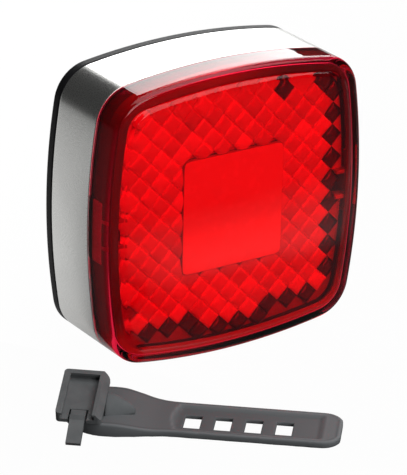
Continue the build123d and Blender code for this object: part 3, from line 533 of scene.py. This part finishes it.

# %% [markdown]
# The reflector is a field of small four-sided prisms that stand on their corners. Each
# prism is a little plate with a domed face, tipped its own way by a few degrees, so each
# one shows its own tone, as moulded prisms do. Only whole prisms are laid, which gives the
# zigzag border. Most of the outermost prisms along the right and the lower edge are painted
# nearly black, as painted shade, and a painted highlight runs along each prism's edge. A
# table of one prism's points is repeated at each place.

# %% Where the prisms stand
PITCH = 0.00425
DIAGONAL = math.sqrt(2)
FIELD_REACH = 13
SHADED_RIGHT, SHADED_LOW = 0.014, -0.024
BORDER, SHADED_BORDER, OUTER_BORDER = 0.0064, 0.0088, 0.0056
DARK_SHARE, SHADED_DARK_SHARE = 0.08, 0.85
NOTCH_X, NOTCH_Z = 0.0305, 0.0042
WINDOW_LIP, WINDOW_COVERS = 0.0015, 0.001

field = np.arange(-FIELD_REACH, FIELD_REACH + 1)
a, b = (axis.ravel() for axis in np.meshgrid(field, field, indexing="ij"))
prism_x = (a - b) * PITCH / DIAGONAL
prism_z = (a + b + 0.5) * PITCH / DIAGONAL


def outline_gap(x, z):
    """Distance from points to the lamp's outline: the least over all outward directions."""
    gap = (OUTLINE[:, 0] - x[:, None]) * OUTWARD[:, 0]
    return (gap + (OUTLINE[:, 1] - z[:, None]) * OUTWARD[:, 1]).min(axis=1)


window_half = (window_high - window_low)[[0, 2]] / 2 - WINDOW_LIP
border_gap = outline_gap(prism_x, prism_z)
hidden_x, hidden_z = window_half - WINDOW_COVERS
in_window = (np.abs(prism_x) < hidden_x) & (np.abs(prism_z) < hidden_z)
in_notch = (np.abs(prism_x) > NOTCH_X) & (np.abs(prism_z) < NOTCH_Z)
shaded = (prism_x > SHADED_RIGHT) | (prism_z < SHADED_LOW)
rng = np.random.default_rng(7)
border = np.where(shaded, SHADED_BORDER, BORDER)
outer = (border_gap > OUTER_BORDER) & (border_gap <= border)
# The dark outer prisms are painted shade: nearly black, mostly along the shaded right and lower
# edges.
dark = outer & (rng.random(len(prism_x)) < np.where(shaded, SHADED_DARK_SHARE, DARK_SHARE))
kept = ((border_gap > border) | dark) & ~in_window & ~in_notch
prism_x, prism_z, dark = prism_x[kept], prism_z[kept], dark[kept]
print("prisms", len(prism_x), "dark", int(dark.sum()))

# %% One prism's points, repeated
CELLS = 6
TIP_SPREAD, LIFT_SPREAD = 0.045, 0.06 * MM
# Each side of a prism: its share of the pitch, its depth in the plate, and its swelling.
FACE_SIDE, BACK_SIDE = (0.985, 1.75, 0.55), (1.0, 2.45, 0.0)

grid_line = np.linspace(-1, 1, CELLS + 1)
u, v = (axis.ravel() for axis in np.meshgrid(grid_line, grid_line, indexing="ij"))
swell = (1 - np.abs(u) ** 3) * (1 - np.abs(v) ** 3)
half = PITCH / 2
tips = rng.normal(0, TIP_SPREAD, (len(prism_x), 2))
lift = rng.normal(0, LIFT_SPREAD, len(prism_x))
lean = (tips[:, :1] * u + tips[:, 1:] * v) * half + lift[:, None]
spots = []
for share, depth, swell_by in (FACE_SIDE, BACK_SIDE):
    x = prism_x[:, None] + half * share * (u - v) / DIAGONAL
    z = prism_z[:, None] + half * share * (u + v) / DIAGONAL
    y = panel_low[1] + depth * MM - swell_by * MM * swell + lean * (swell_by > 0)
    spots.append(np.stack([lamp_middle[0] + x, y, lamp_middle[2] + z], axis=-1))
side_count = (CELLS + 1) ** 2
grid = np.arange(side_count).reshape(CELLS + 1, CELLS + 1)


def grid_cells(index):
    """The four corners of each cell of a grid of point numbers."""
    return np.stack([index[:-1, :-1], index[1:, :-1], index[1:, 1:], index[:-1, 1:]], axis=-1)


top = grid_cells(grid).reshape(-1, 4)
rim = np.concatenate([grid[:-1, 0], grid[-1, :-1], grid[:0:-1, -1], grid[0, :0:-1]])
next_rim = np.roll(rim, -1)
walls = np.stack([rim, rim + side_count, next_rim + side_count, next_rim], axis=-1)
one_prism = np.concatenate([top, walls, top[:, ::-1] + side_count])
points = np.concatenate(spots, axis=1)
first_points = 2 * side_count * np.arange(len(prism_x))
faces = (one_prism[None] + first_points[:, None, None]).reshape(-1, 4)

# %% The prisms' red
# The bottom stop is the painted shade of the dark outer prisms; the pale top stop is the painted
# highlight that the prism edges reach.
PRISM_STOPS = ((0.0, (0.01, 0.0, 0.001)), (0.8, (0.64, 0.001, 0.14)), (1.0, (1.0, 0.5, 0.4)))
USUAL_TONE, TONE_SPREAD, EDGE_HIGHLIGHT_TONE = 0.80, 0.06, 0.2


def prism_finish():
    """Glossy red whose depth follows the tone that each point carries: a random tone, painted
    shade on the dark outer prisms, and a painted highlight along each prism's edge.
    """
    material, nodes, links, shader = new_material("reflector_red")
    tone = nodes.new("ShaderNodeAttribute")
    tone.attribute_name = "tone"
    colour = colour_ramp(nodes, links, tone.outputs["Fac"], PRISM_STOPS)
    links.new(colour, shader.inputs["Base Color"])
    shader.inputs["Roughness"].default_value = 0.28
    shader.inputs["Coat Weight"].default_value = 0.9
    shader.inputs["Coat Roughness"].default_value = 0.05
    grain = noise(nodes, links, 2600, 2.0)
    add_bump(nodes, links, shader, grain, 0.2, 0.00003)
    return material


prisms = mesh_object("reflector_prisms", points.reshape(-1, 3), faces, prism_finish())
tone = np.clip(rng.normal(USUAL_TONE, TONE_SPREAD, len(prism_x)), 0.5, 1.0)
# The dark prisms' black tone is painted shade.
tone[dark] = 0.0
# A painted highlight along each prism's edge; the dark prisms get none.
at_edge = np.maximum(np.abs(u), np.abs(v)) > 0.99
painted_edge_highlight = np.tile(np.where(at_edge, EDGE_HIGHLIGHT_TONE, 0.0), 2)
tones = np.clip(tone[:, None] + np.where(dark[:, None], 0, 1) * painted_edge_highlight, 0, 1)
add_tone(prisms, "tone", tones.ravel())

# %% [markdown]
# Behind the prisms lies a plate, from the window's opening to the wall of the lens. It is
# crimson, with painted shade that darkens it towards the bottom, and it closes the gaps of
# the zigzag border. Its outer side is painted near-black, as painted shade.

# %% The plate behind the prisms
def window_ring(depth):
    """Points round the window's opening in the directions of the outline's points."""
    reach = np.abs(OUTLINE) / window_half
    return upright(OUTLINE / reach.max(axis=1)[:, None], depth)


def height_fade(nodes, links, low, high):
    """A value that runs from 0 at height low to 1 at height high."""
    rise = axes_of(nodes, links, object_place(nodes))["Z"]
    return span(nodes, links, rise, 0.0, 1.0, low, high)


# Painted shade: the plate's red darkens from the top colour to the bottom colour.
PLATE_LOW, PLATE_HIGH = (0.24, 0.0, 0.05), (0.66, 0.0, 0.15)
FADE_INSET = 0.012


def plate_finish():
    """Red with painted shade: it falls off towards the lower edge, where the rim shades the
    plate.
    """
    material, nodes, links, shader = new_material("plate_red")
    fade = height_fade(nodes, links, band_low[2] + FADE_INSET, band_high[2] - FADE_INSET)
    tone = two_tone(nodes, links, fade, PLATE_LOW, PLATE_HIGH, 0.0, 1.0)
    links.new(tone, shader.inputs["Base Color"])
    grain = noise(nodes, links, 2200, 2.0)
    links.new(span(nodes, links, grain, 0.2, 0.32), shader.inputs["Roughness"])
    return material


plate_red = plate_finish()
plate_front = panel_low[1] + 2.35 * MM
plate_back = panel_high[1]
notched = (np.abs(OUTLINE[:, 1]) < 3.9 * MM) & (np.abs(OUTLINE[:, 0]) > 20 * MM)
plate_edge = np.where(notched, 7.3, 4.15) * MM
plate_rings = [
    ring(plate_edge, plate_back - lens_front), ring(plate_edge, plate_front - lens_front),
    window_ring(plate_front), window_ring(plate_back),
]
# The plate's outer side, seen through the skirt, is painted near-black, as painted shade.
wall_painted_shade = grained("wall_painted_shade", (0.012, 0.0, 0.001), (0.02, 0.0, 0.002), (0.3, 0.45), 2200)
plate = ring_object("reflector_plate", plate_rings, plate_red, smooth=False)
add_second_finish(plate, wall_painted_shade, np.arange(4 * STEPS) < STEPS)

# %% [markdown]
# The window in the middle is a smooth pad of the same red plastic. Its face is a little
# crowned and its edge is rounded. The edge is painted darker than the face, as painted
# shade, and the lower half of the face is painted lighter, as painted light.

# %% The light window
PAD_SQUARE = 0.09
PAD_GAP = 0.0001
PAD_SIDE, PAD_PULL, PAD_CROWN = 0.5, 0.45, 0.15
# The lower red is painted light on the window's lower half.
WINDOW_RED, WINDOW_PAINTED_LIGHT_RED = (0.78, 0.0, 0.14), (0.95, 0.07, 0.15)


def pad_ring(half_x, half_z, depth):
    """A rounded rectangle with one point for each outline step, at a depth."""
    angles = 2 * math.pi * np.arange(STEPS) / STEPS
    return upright(np.column_stack(squared_circle(half_x, half_z, angles, PAD_SQUARE)), depth)


def window_finish():
    """Red with painted light: it turns a little lighter in the lower half."""
    material, nodes, links, shader = new_material("window_red")
    fade = height_fade(nodes, links, lamp_middle[2] + 0.004, lamp_middle[2] - 0.012)
    tone = two_tone(nodes, links, fade, WINDOW_RED, WINDOW_PAINTED_LIGHT_RED, 0.35, 0.6)
    links.new(tone, shader.inputs["Base Color"])
    mist = noise(nodes, links, 420, 2.0)
    links.new(span(nodes, links, mist, 0.2, 0.3), shader.inputs["Roughness"])
    add_bump(nodes, links, shader, mist, 0.1, 0.00002)
    return material


window_red = window_finish()
# The pad's rounded edge is painted darker, as painted shade.
window_edge_shade_red = grained("window_edge_shade_red", (0.24, 0.0, 0.008), (0.32, 0.0, 0.012), (0.2, 0.3), 2200)
pad_x, pad_z = window_half - PAD_GAP
window_front = window_low[1]
window_back = window_high[1]
pad_rings = [pad_ring(pad_x, pad_z, window_back)]
pad_rings.append(pad_ring(pad_x, pad_z, window_front + PAD_SIDE * MM))
for angle in np.radians(np.linspace(0, 90, 6))[1:]:
    pull = PAD_PULL * MM * (1 - math.cos(angle))
    depth = window_front + (PAD_SIDE - (PAD_SIDE - PAD_CROWN) * math.sin(angle)) * MM
    pad_rings.append(pad_ring(pad_x - pull, pad_z - pull, depth))
for s in np.linspace(0.95, 0.05, 16):
    face_x, face_z = (pad_x - PAD_PULL * MM) * s, (pad_z - PAD_PULL * MM) * s
    pad_rings.append(pad_ring(face_x, face_z, window_front + PAD_CROWN * MM * s * s))
ends = [(lamp_middle[0], depth, lamp_middle[2]) for depth in (window_back, window_front)]
pad_points, pad_faces = closed_shell(pad_rings, *ends)
window = mesh_object("window_pad", pad_points, pad_faces, window_red)
face_row = np.arange(len(pad_faces)) // STEPS
add_second_finish(window, window_edge_shade_red, (face_row > 0) & (face_row < 5))

# %% [markdown]
# Behind the lens's flat rim lies a narrow shelf of painted shade, which makes the rim look
# deep maroon. It is painted redder along the bottom and at the left of the top, as painted
# light.

# %% The painted shade behind the rim
# Painted light and shade by height: redder at the bottom and the top, near-black between.
RIM_SHADE_STOPS = (
    (0.0, (0.34, 0.0, 0.03)), (0.10, (0.26, 0.0, 0.02)), (0.2, (0.07, 0.0, 0.004)),
    (0.86, (0.07, 0.0, 0.004)), (0.94, (0.16, 0.004, 0.006)), (1.0, (0.30, 0.02, 0.015)),
)
# Painted shade over the right of the upper half.
RIM_PAINTED_DIM = (0.03, 0.0, 0.003, 1)


def rim_shade_finish():
    """Painted light and shade: reds that change with height, dimmed towards the right in the
    upper half.
    """
    material, nodes, links, shader = new_material("painted_rim_shade_red")
    fade = height_fade(nodes, links, band_low[2], band_high[2])
    colour = colour_ramp(nodes, links, fade, RIM_SHADE_STOPS)
    side = axes_of(nodes, links, object_place(nodes))["X"]
    middle_x, _, middle_z = lamp_middle
    across = span(nodes, links, side, 0.0, 0.92, middle_x - 0.004, middle_x + 0.016)
    high_up = height_fade(nodes, links, middle_z, middle_z + 0.012)
    dim = nodes.new("ShaderNodeMixRGB")
    dim.inputs["Color2"].default_value = RIM_PAINTED_DIM
    links.new(maths(nodes, links, "MULTIPLY", across, high_up), dim.inputs["Fac"])
    links.new(colour, dim.inputs["Color1"])
    links.new(dim.outputs["Color"], shader.inputs["Base Color"])
    grain = noise(nodes, links, 2400, 2.0)
    links.new(span(nodes, links, grain, 0.3, 0.45), shader.inputs["Roughness"])
    return material


# This ring stands in for shade behind the rim and carries painted light and shade.
rim_shade_profile = [(2.1, 2.12), (4.25, 2.12), (4.25, 2.42), (2.3, 2.42), (2.3, 5.2), (2.1, 5.2)]
painted_rim_shade = ring_object("painted_rim_shade_ring", profile_rings(rim_shade_profile), rim_shade_finish(), smooth=False)

# %% [markdown]
# The black back has a fuller edge than a plain rounded plate: its side stays straight
# almost to the back face. A thin rim over the solid's edge gives it that form.

# %% The edge of the black back
RIM_ROUND, RIM_PROUD = 0.9, 0.02

back_depth = (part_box("back_cover")[1][1] - lens_front) / MM
rim_arc = arc_profile((RIM_ROUND, RIM_ROUND), RIM_ROUND, 180, 270)
rim_profile = [(0.9, 26.2), (0.1, 26.2), (0.02, 26.28), (0, 27.0), (0, back_depth - RIM_ROUND)]
rim_profile += [(inset, back_depth + RIM_PROUD - depth) for inset, depth in rim_arc]
rim_profile += [(2.4, back_depth + RIM_PROUD), (2.5, back_depth - 0.1), (1.4, back_depth - 1.2)]
back_rim = ring_object("back_rim", profile_rings(rim_profile), finishes["cover_black"])

# %% [markdown]
# The strap is soft moulded rubber: every edge is rounded, a shallow panel is sunk into its
# tail and leaves a raised bead, and four slots go through it. It is made of two height
# fields over one plan, a top and a bottom, joined by walls round the edge and the slots.
# The grid has lines on the slots' edges, so the slots come out clean. Sizes are in
# millimetres: u runs along the strap from the disc's middle, and v runs across it.

# %% The plan of the strap
DISC = 10.6
NECK = 17.0
TAIL, LENGTH, END_ROUND = 8.1, 55.98, 4.6
STRAP_TURN = math.radians(-40.5)
LONG = np.array([math.cos(STRAP_TURN), math.sin(STRAP_TURN)])
CROSS = np.array([-math.sin(STRAP_TURN), math.cos(STRAP_TURN)])
SLOT_FIRST, SLOT_STEP, SLOT_HALF = 20.2, 7.35, 2.0
SLOT_SIDES = (-4.3, 2.3)

strap_low, strap_high = (np.array(corner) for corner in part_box("strap"))
strap_spot = np.array([strap_low[0] / MM + DISC, strap_high[1] / MM - DISC])
slots = []
for k in range(4):
    slot_middle = SLOT_FIRST + SLOT_STEP * k
    slots.append((slot_middle - SLOT_HALF, slot_middle + SLOT_HALF, *SLOT_SIDES))


def smooth_step(x):
    """Zero below 0 and one above 1, with the cubic 3x2 - 2x3 between."""
    x = np.clip(x, 0, 1)
    return x * x * (3 - 2 * x)


def eased(start, end, share):
    """From start to end along a smooth step."""
    return start + (end - start) * smooth_step(share)


def half_width(u):
    """Half the strap's width: a half circle, a smooth neck, a tail and round corners."""
    neck = eased(DISC, TAIL, u / NECK)
    disc = np.sqrt(np.clip(DISC**2 - u**2, 0, None))
    past = np.clip(u - (LENGTH - END_ROUND), 0, END_ROUND)
    tail = TAIL - END_ROUND + np.sqrt(END_ROUND**2 - past**2)
    return np.where(u < 0, disc, np.where(u < NECK, neck, tail))


def grid_lines(pieces):
    """All the lines of a grid, in order and each only once."""
    return np.unique(np.round(np.concatenate(pieces), 4))


near = np.array([0, 0.06, 0.16, 0.32, 0.55])
u_lines = [near - DISC, LENGTH - near, np.linspace(-9.6, 17.5, 46), np.linspace(45, 55, 15)]
for start, end, low, high in slots:
    u_lines += [start - near[:4], end + near[:4], np.linspace(start, end, 4)]
slot_lines = np.array(SLOT_SIDES)[:, None] + np.outer([-1, 1], near[:4])
v_lines = [(-TAIL + near) / TAIL, (TAIL - near) / TAIL, np.linspace(-0.9, 0.9, 31)]
v_lines.append(slot_lines.ravel() / TAIL)
U, XI = np.meshgrid(grid_lines(u_lines), grid_lines(v_lines), indexing="ij")
V = XI * half_width(U)
print("strap grid", U.shape)

# %% Distances to the strap's edge and to its slots
quarter = np.linspace(0, math.pi / 2, 60)
end_quarter = np.linspace(0, math.pi / 2, 30)
edge_u = np.concatenate([
    -DISC * np.cos(quarter), np.linspace(0, 51.4, 160),
    LENGTH - END_ROUND + END_ROUND * np.sin(end_quarter),
])
edge_v = half_width(edge_u)
end_v = np.linspace(-(TAIL - END_ROUND), TAIL - END_ROUND, 20)
edge = np.column_stack([
    np.concatenate([edge_u, edge_u, np.full(20, LENGTH)]),
    np.concatenate([edge_v, -edge_v, end_v]),
])
plan = np.column_stack([U.ravel(), V.ravel()])
to_edge = np.sqrt(((plan[:, None] - edge[None]) ** 2).sum(axis=2)).min(axis=1).reshape(U.shape)
to_edge[:, [0, -1]] = 0
to_edge[[0, -1]] = 0
to_slot = np.full(U.shape, 9.0)
for start, end, low, high in slots:
    out_u = np.maximum(np.maximum(start - U, U - end), 0)
    out_v = np.maximum(np.maximum(low - V, V - high), 0)
    to_slot = np.minimum(to_slot, np.hypot(out_u, out_v))

# %% Heights of the strap's two sides
DISC_THICK, TAIL_THICK = 3.3, 1.7
PANEL_FRONT, PANEL_CURVE, PANEL_END, PANEL_HALF = 16.6, 1.2, 51.6, 6.5
PANEL_DEEP, PANEL_SLOPE = 0.7, 0.6
SEAT_U, SEAT_V, SEAT_RADIUS, SEAT_DEEP = -4.0, -2.6, 4.9, 1.1


def rounded(distance, radius):
    """Drop of a rounded edge: radius less the height of a quarter circle that far in."""
    inside = np.clip(distance, 0, radius)
    return radius - np.sqrt(radius**2 - (radius - inside) ** 2)


thick = eased(DISC_THICK, TAIL_THICK, (U - 1.0) / 12.0)
panel_start = PANEL_FRONT - PANEL_CURVE * (1 - np.clip(V / 6.4, -1, 1) ** 2)
into_panel = np.minimum(np.minimum(U - panel_start, PANEL_END - U), PANEL_HALF - np.abs(V))
in_seat = np.hypot(U - SEAT_U, V - SEAT_V)
top = thick - rounded(to_edge, 0.55) - rounded(to_slot, 0.25)
top -= PANEL_DEEP * smooth_step(into_panel / PANEL_SLOPE)
top -= SEAT_DEEP * smooth_step((SEAT_RADIUS - in_seat) / 0.3)
bottom = rounded(to_edge, 0.4) + rounded(to_slot, 0.2)
bottom = np.minimum(bottom, top - 0.05)

# %% The strap's rubber
# The strap's grey runs from painted shade to painted highlight.
RUBBER_DARK, RUBBER_PALE = (0.076, 0.081, 0.085), (0.15, 0.157, 0.163)


def bump_at(distance, place, width):
    """A soft bump of height 1 at one distance."""
    return np.exp(-((distance - place) / width) ** 2)


def strap_finish():
    """Matt rubber with painted light and shade: the raised bead and the rounded edge carry a
    painted highlight, the sunk panel painted shade, and a dark line of painted shade runs just
    inside the edge.
    """
    material, nodes, links, shader = new_material("strap_rubber")
    tone = nodes.new("ShaderNodeAttribute")
    tone.attribute_name = "painted_light_shade"
    grey = two_tone(nodes, links, tone.outputs["Fac"], RUBBER_DARK, RUBBER_PALE, 0.0, 1.0)
    links.new(grey, shader.inputs["Base Color"])
    grain = noise(nodes, links, 4800, 3.0, 0.6)
    links.new(span(nodes, links, grain, 0.6, 0.75), shader.inputs["Roughness"])
    shader.inputs["Specular IOR Level"].default_value = 0.12
    add_bump(nodes, links, shader, grain, 0.5, GRAIN_RELIEF)
    return material


# Painted light and shade on the top: the sunk panel is darker, the bead and rounded edge are
# paler as painted highlight, and a dark line of painted shade runs about a millimetre inside the
# edge.
sunk = smooth_step(into_panel / 0.5)
painted_highlight = bump_at(into_panel, -0.25, 0.35) + 0.8 * bump_at(to_edge, 0.45, 0.35)
line = bump_at(to_edge, 0.95, 0.22)
painted_light_shade = np.clip(0.42 - 0.22 * sunk + 0.45 * painted_highlight - 0.5 * line, 0, 1)

# %% The strap's mesh
def strap_points(height):
    """Plan and height turned into the frame's metres."""
    flat = strap_spot + U.ravel()[:, None] * LONG + V.ravel()[:, None] * CROSS
    return np.column_stack([flat, height.ravel()]) * MM


rows, columns = U.shape
total = rows * columns
cells = grid_cells(np.arange(total).reshape(rows, columns))
mid_u = (U[:-1, :-1] + U[1:, 1:]) / 2
mid_v = (V[:-1, :-1] + V[1:, 1:]) / 2
solid = np.ones(mid_u.shape, bool)
for start, end, low, high in slots:
    solid &= ~((mid_u > start) & (mid_u < end) & (mid_v > low) & (mid_v < high))
top_faces = cells[solid]
edges = np.concatenate([top_faces[:, [k, (k + 1) % 4]] for k in range(4)])
one_way = edges[:, 0].astype(np.int64) * total + edges[:, 1]
other_way = edges[:, 1].astype(np.int64) * total + edges[:, 0]
starts, stops = edges[~np.isin(one_way, other_way)].T
wall_faces = np.column_stack([stops, starts, starts + total, stops + total])
strap_faces = np.concatenate([top_faces, top_faces[:, ::-1] + total, wall_faces])
both_sides = np.concatenate([strap_points(top), strap_points(bottom)])
strap = mesh_object("rubber_strap", both_sides, strap_faces, strap_finish())
add_tone(strap, "painted_light_shade", np.concatenate([painted_light_shade.ravel(), np.full(painted_light_shade.size, 0.3)]))
merge = strap.modifiers.new("merge", "WELD")
merge.merge_threshold = 0.000004
print("strap faces", len(strap_faces))

# %% [markdown]
# A soft cone fairs the bracket's foot into the strap's disc. It has a low ridge, shrinks
# along the strap, and its end is rounded over.

# %% The cone
CONE_START, CONE_RUN = -0.4, 6.9
CONE_FLOOR, CONE_FOOT = 2.6, 3.2

cone_u = np.linspace(0, 1, 18)
around = np.linspace(0, math.pi, 25)
ending = np.sqrt(np.clip(1 - (cone_u / 1.02) ** 6, 0, 1))
wide = eased(4.3, 1.5, cone_u) * ending
tall = eased(4.0, 2.0, cone_u) * ending
cone_rings = []
for at, w, t in zip(cone_u, wide, tall):
    v = -1.5 - 0.5 * at + w * np.append(np.cos(around), np.cos(around[-2:0:-1]))
    ridge = CONE_FOOT + t * np.sin(around) ** 1.7
    z = np.append(ridge, np.full(len(around) - 2, CONE_FLOOR))
    flat = strap_spot + (CONE_START + CONE_RUN * at) * LONG + v[:, None] * CROSS
    cone_rings.append(np.column_stack([flat, z]) * MM)
ends = [cone_rings[k].mean(axis=0) for k in (0, -1)]
cone = mesh_object("strap_cone", *closed_shell(cone_rings, *ends), finishes["strap_grey"])

# %% Each piece rides on its body and stands for its solid
for piece, body, node, slot in (
    (lens, "lens_unit", "lens_cover", "lens_red"),
    (latches, "lens_unit", "lens_cover", "lens_red"),
    (band, "lamp", "metal_band", "band_metal"),
    (prisms, "lens_unit", "reflector_panel", "reflector_red"),
    (plate, "lens_unit", "reflector_panel", "reflector_red"),
    (painted_rim_shade, "lens_unit", "lens_cover", "lens_red"),
    (window, "lens_unit", "light_window", "window_red"),
):
    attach(piece, body)
    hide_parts(node)

for piece in (strap, cone):
    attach(piece, "strap_mount")
    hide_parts("strap")
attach(back_rim, "lamp")

# %% [markdown]
# The studio is a plain pale floor and four soft lamps: one above, two on the right and one
# low in front. The floor's glow shows to the camera, through the lens and in reflections,
# and lights nothing by itself. In reflections it is pale at the back left and dark in
# front, up to a curve. The lamp's left side mirrors that curve where the lens meets the
# band, so the metal looks pale and the clear skirt stays deep red. A small pale patch in
# front is mirrored by the lower half of the window. The back lamp can't be seen through
# the lens, or its bevel along the top would glow.

# %% Floor
CARD_EDGE = (2.0875, -1.0677, -0.5893, -0.00573)
CARD_REACH = 0.28
CARD_SOFT = (-0.0006, 0.0004)
TO_BACK_LEFT = (-0.7, 0.7, 0)
BACK_FADE = (-0.02, 0.09)
PATCH_FRONT, PATCH_BACK, PATCH_LEFT = (-0.075, -0.04), (-0.036, -0.026), (0.01, 0.034)
FLOOR_DARK, FLOOR_LIGHT = (0.10, 0.10, 0.10), (0.5, 0.5, 0.5)
FLOOR_GLOW, PLAIN_SHARE, MIRROR_SHARE = 1.02, 0.96, 0.9
FLOOR_HALF = 4


def card_fade(nodes, links, place):
    """0 where reflections show the dark card, and 1 where they show pale floor.

    The card's edge is x = a y^3 + b y^2 + c y + d, with (a, b, c, d) in CARD_EDGE, for y
    between 0 and CARD_REACH. It lies where the lamp's left side mirrors the joint between
    the lens and the metal, so the metal mirrors the pale floor and the lens the dark card.
    """
    axes = axes_of(nodes, links, place)
    deep = span(nodes, links, axes["Y"], 0.0, CARD_REACH, 0.0, CARD_REACH)
    edge = CARD_EDGE[0]
    for offset in CARD_EDGE[1:]:
        edge = maths(nodes, links, "MULTIPLY_ADD", deep, edge, offset)
    beyond = maths(nodes, links, "SUBTRACT", axes["X"], edge)
    near = span(nodes, links, beyond, 0.0, 1.0, *CARD_SOFT)
    along = nodes.new("ShaderNodeVectorMath")
    along.operation = "DOT_PRODUCT"
    along.inputs[1].default_value = TO_BACK_LEFT
    links.new(place, along.inputs[0])
    far = span(nodes, links, along.outputs["Value"], 0.0, 1.0, *BACK_FADE)
    return maths(nodes, links, "MULTIPLY", near, far)


def window_patch(nodes, links, place):
    """A pale patch in front of the lamp, for the window's lower half to mirror."""
    axes = axes_of(nodes, links, place)
    front = span(nodes, links, axes["Y"], 0.0, 0.8, *PATCH_FRONT)
    left = span(nodes, links, axes["X"], 0.0, 1.0, *PATCH_LEFT)
    back = span(nodes, links, axes["Y"], 1.0, 0.15, *PATCH_BACK)
    return maths(nodes, links, "MULTIPLY", maths(nodes, links, "MULTIPLY", front, left), back)


def pale_floor():
    """Pale to the camera and through the lens; in reflections the card covers its front."""
    material, nodes, links, shader = new_material("pale_floor")
    place = object_place(nodes)
    fade = card_fade(nodes, links, place)
    tone = two_tone(nodes, links, fade, FLOOR_DARK, FLOOR_LIGHT, 0.0, 1.0)
    links.new(tone, shader.inputs["Base Color"])
    shader.inputs["Roughness"].default_value = 0.9
    glow = nodes.new("ShaderNodeEmission")
    glow.inputs["Strength"].default_value = FLOOR_GLOW
    ray = nodes.new("ShaderNodeLightPath").outputs
    seen = maths(nodes, links, "MAXIMUM", ray["Is Camera Ray"], ray["Is Transmission Ray"])
    plain = maths(nodes, links, "MULTIPLY", seen, PLAIN_SHARE)
    open_floor = span(nodes, links, fade, 0.0, MIRROR_SHARE, 0.0, 1.0)
    pale = maths(nodes, links, "MAXIMUM", open_floor, window_patch(nodes, links, place))
    mirrored = maths(nodes, links, "MULTIPLY", ray["Is Glossy Ray"], pale)
    share = maths(nodes, links, "MAXIMUM", plain, mirrored)
    send_mix(nodes, links, share, shader.outputs[0], glow.outputs[0])
    return material


floor_mesh = bpy.data.meshes.new("studio_floor")
corners = [(x * FLOOR_HALF, y * FLOOR_HALF, 0) for x, y in ((-1, -1), (1, -1), (1, 1), (-1, 1))]
floor_mesh.from_pydata(corners, [], [(0, 1, 2, 3)])
floor_mesh.materials.append(pale_floor())
floor = bpy.data.objects.new("studio_floor", floor_mesh)
bpy.context.collection.objects.link(floor)

# %% Lights
AIM = (0.0, 0.0, 0.04)


def soft_lamp(name, place, size, power):
    """A rectangular lamp at place that faces the object's middle."""
    data = bpy.data.lights.new(name, "AREA")
    data.shape = "RECTANGLE"
    data.size, data.size_y = size
    data.energy = power
    lamp = bpy.data.objects.new(name, data)
    bpy.context.collection.objects.link(lamp)
    facing = (Vector(AIM) - Vector(place)).to_track_quat("-Z", "Y").to_matrix().to_4x4()
    lamp.matrix_world = Matrix.Translation(place) @ facing
    return lamp


soft_lamp("key_above", (0.25, -0.35, 0.95), (1.0, 1.0), 9.5)
soft_lamp("high_right", (0.57, 0.46, 0.85), (0.45, 0.45), 2.4)
back_lamp = soft_lamp("back_right", (0.75, 1.0, 0.62), (0.9, 0.6), 9.0)
back_lamp.visible_transmission = False
soft_lamp("front_fill", (0.1, -1.1, 0.5), (0.8, 0.5), 7.0)

# %% [markdown]
# The air round the studio is white to the camera, half as bright through the lens, and
# almost dark for everything else, so it adds hardly any light to the object.

# %% Air
AIR_DIM, AIR_THROUGH_LENS = 0.05, 0.5

world = bpy.data.worlds.new("studio_air")
world.use_nodes = True
nodes, links = world.node_tree.nodes, world.node_tree.links
air = nodes["Background"]
air.inputs["Color"].default_value = (1, 1, 1, 1)
ray = nodes.new("ShaderNodeLightPath").outputs
dim_air = span(nodes, links, ray["Is Transmission Ray"], AIR_DIM, AIR_THROUGH_LENS, 0.0, 1.0)
strength = maths(nodes, links, "MAXIMUM", ray["Is Camera Ray"], dim_air)
links.new(strength, air.inputs["Strength"])
bpy.context.scene.world = world
bpy.context.scene.view_settings.view_transform = "Standard"
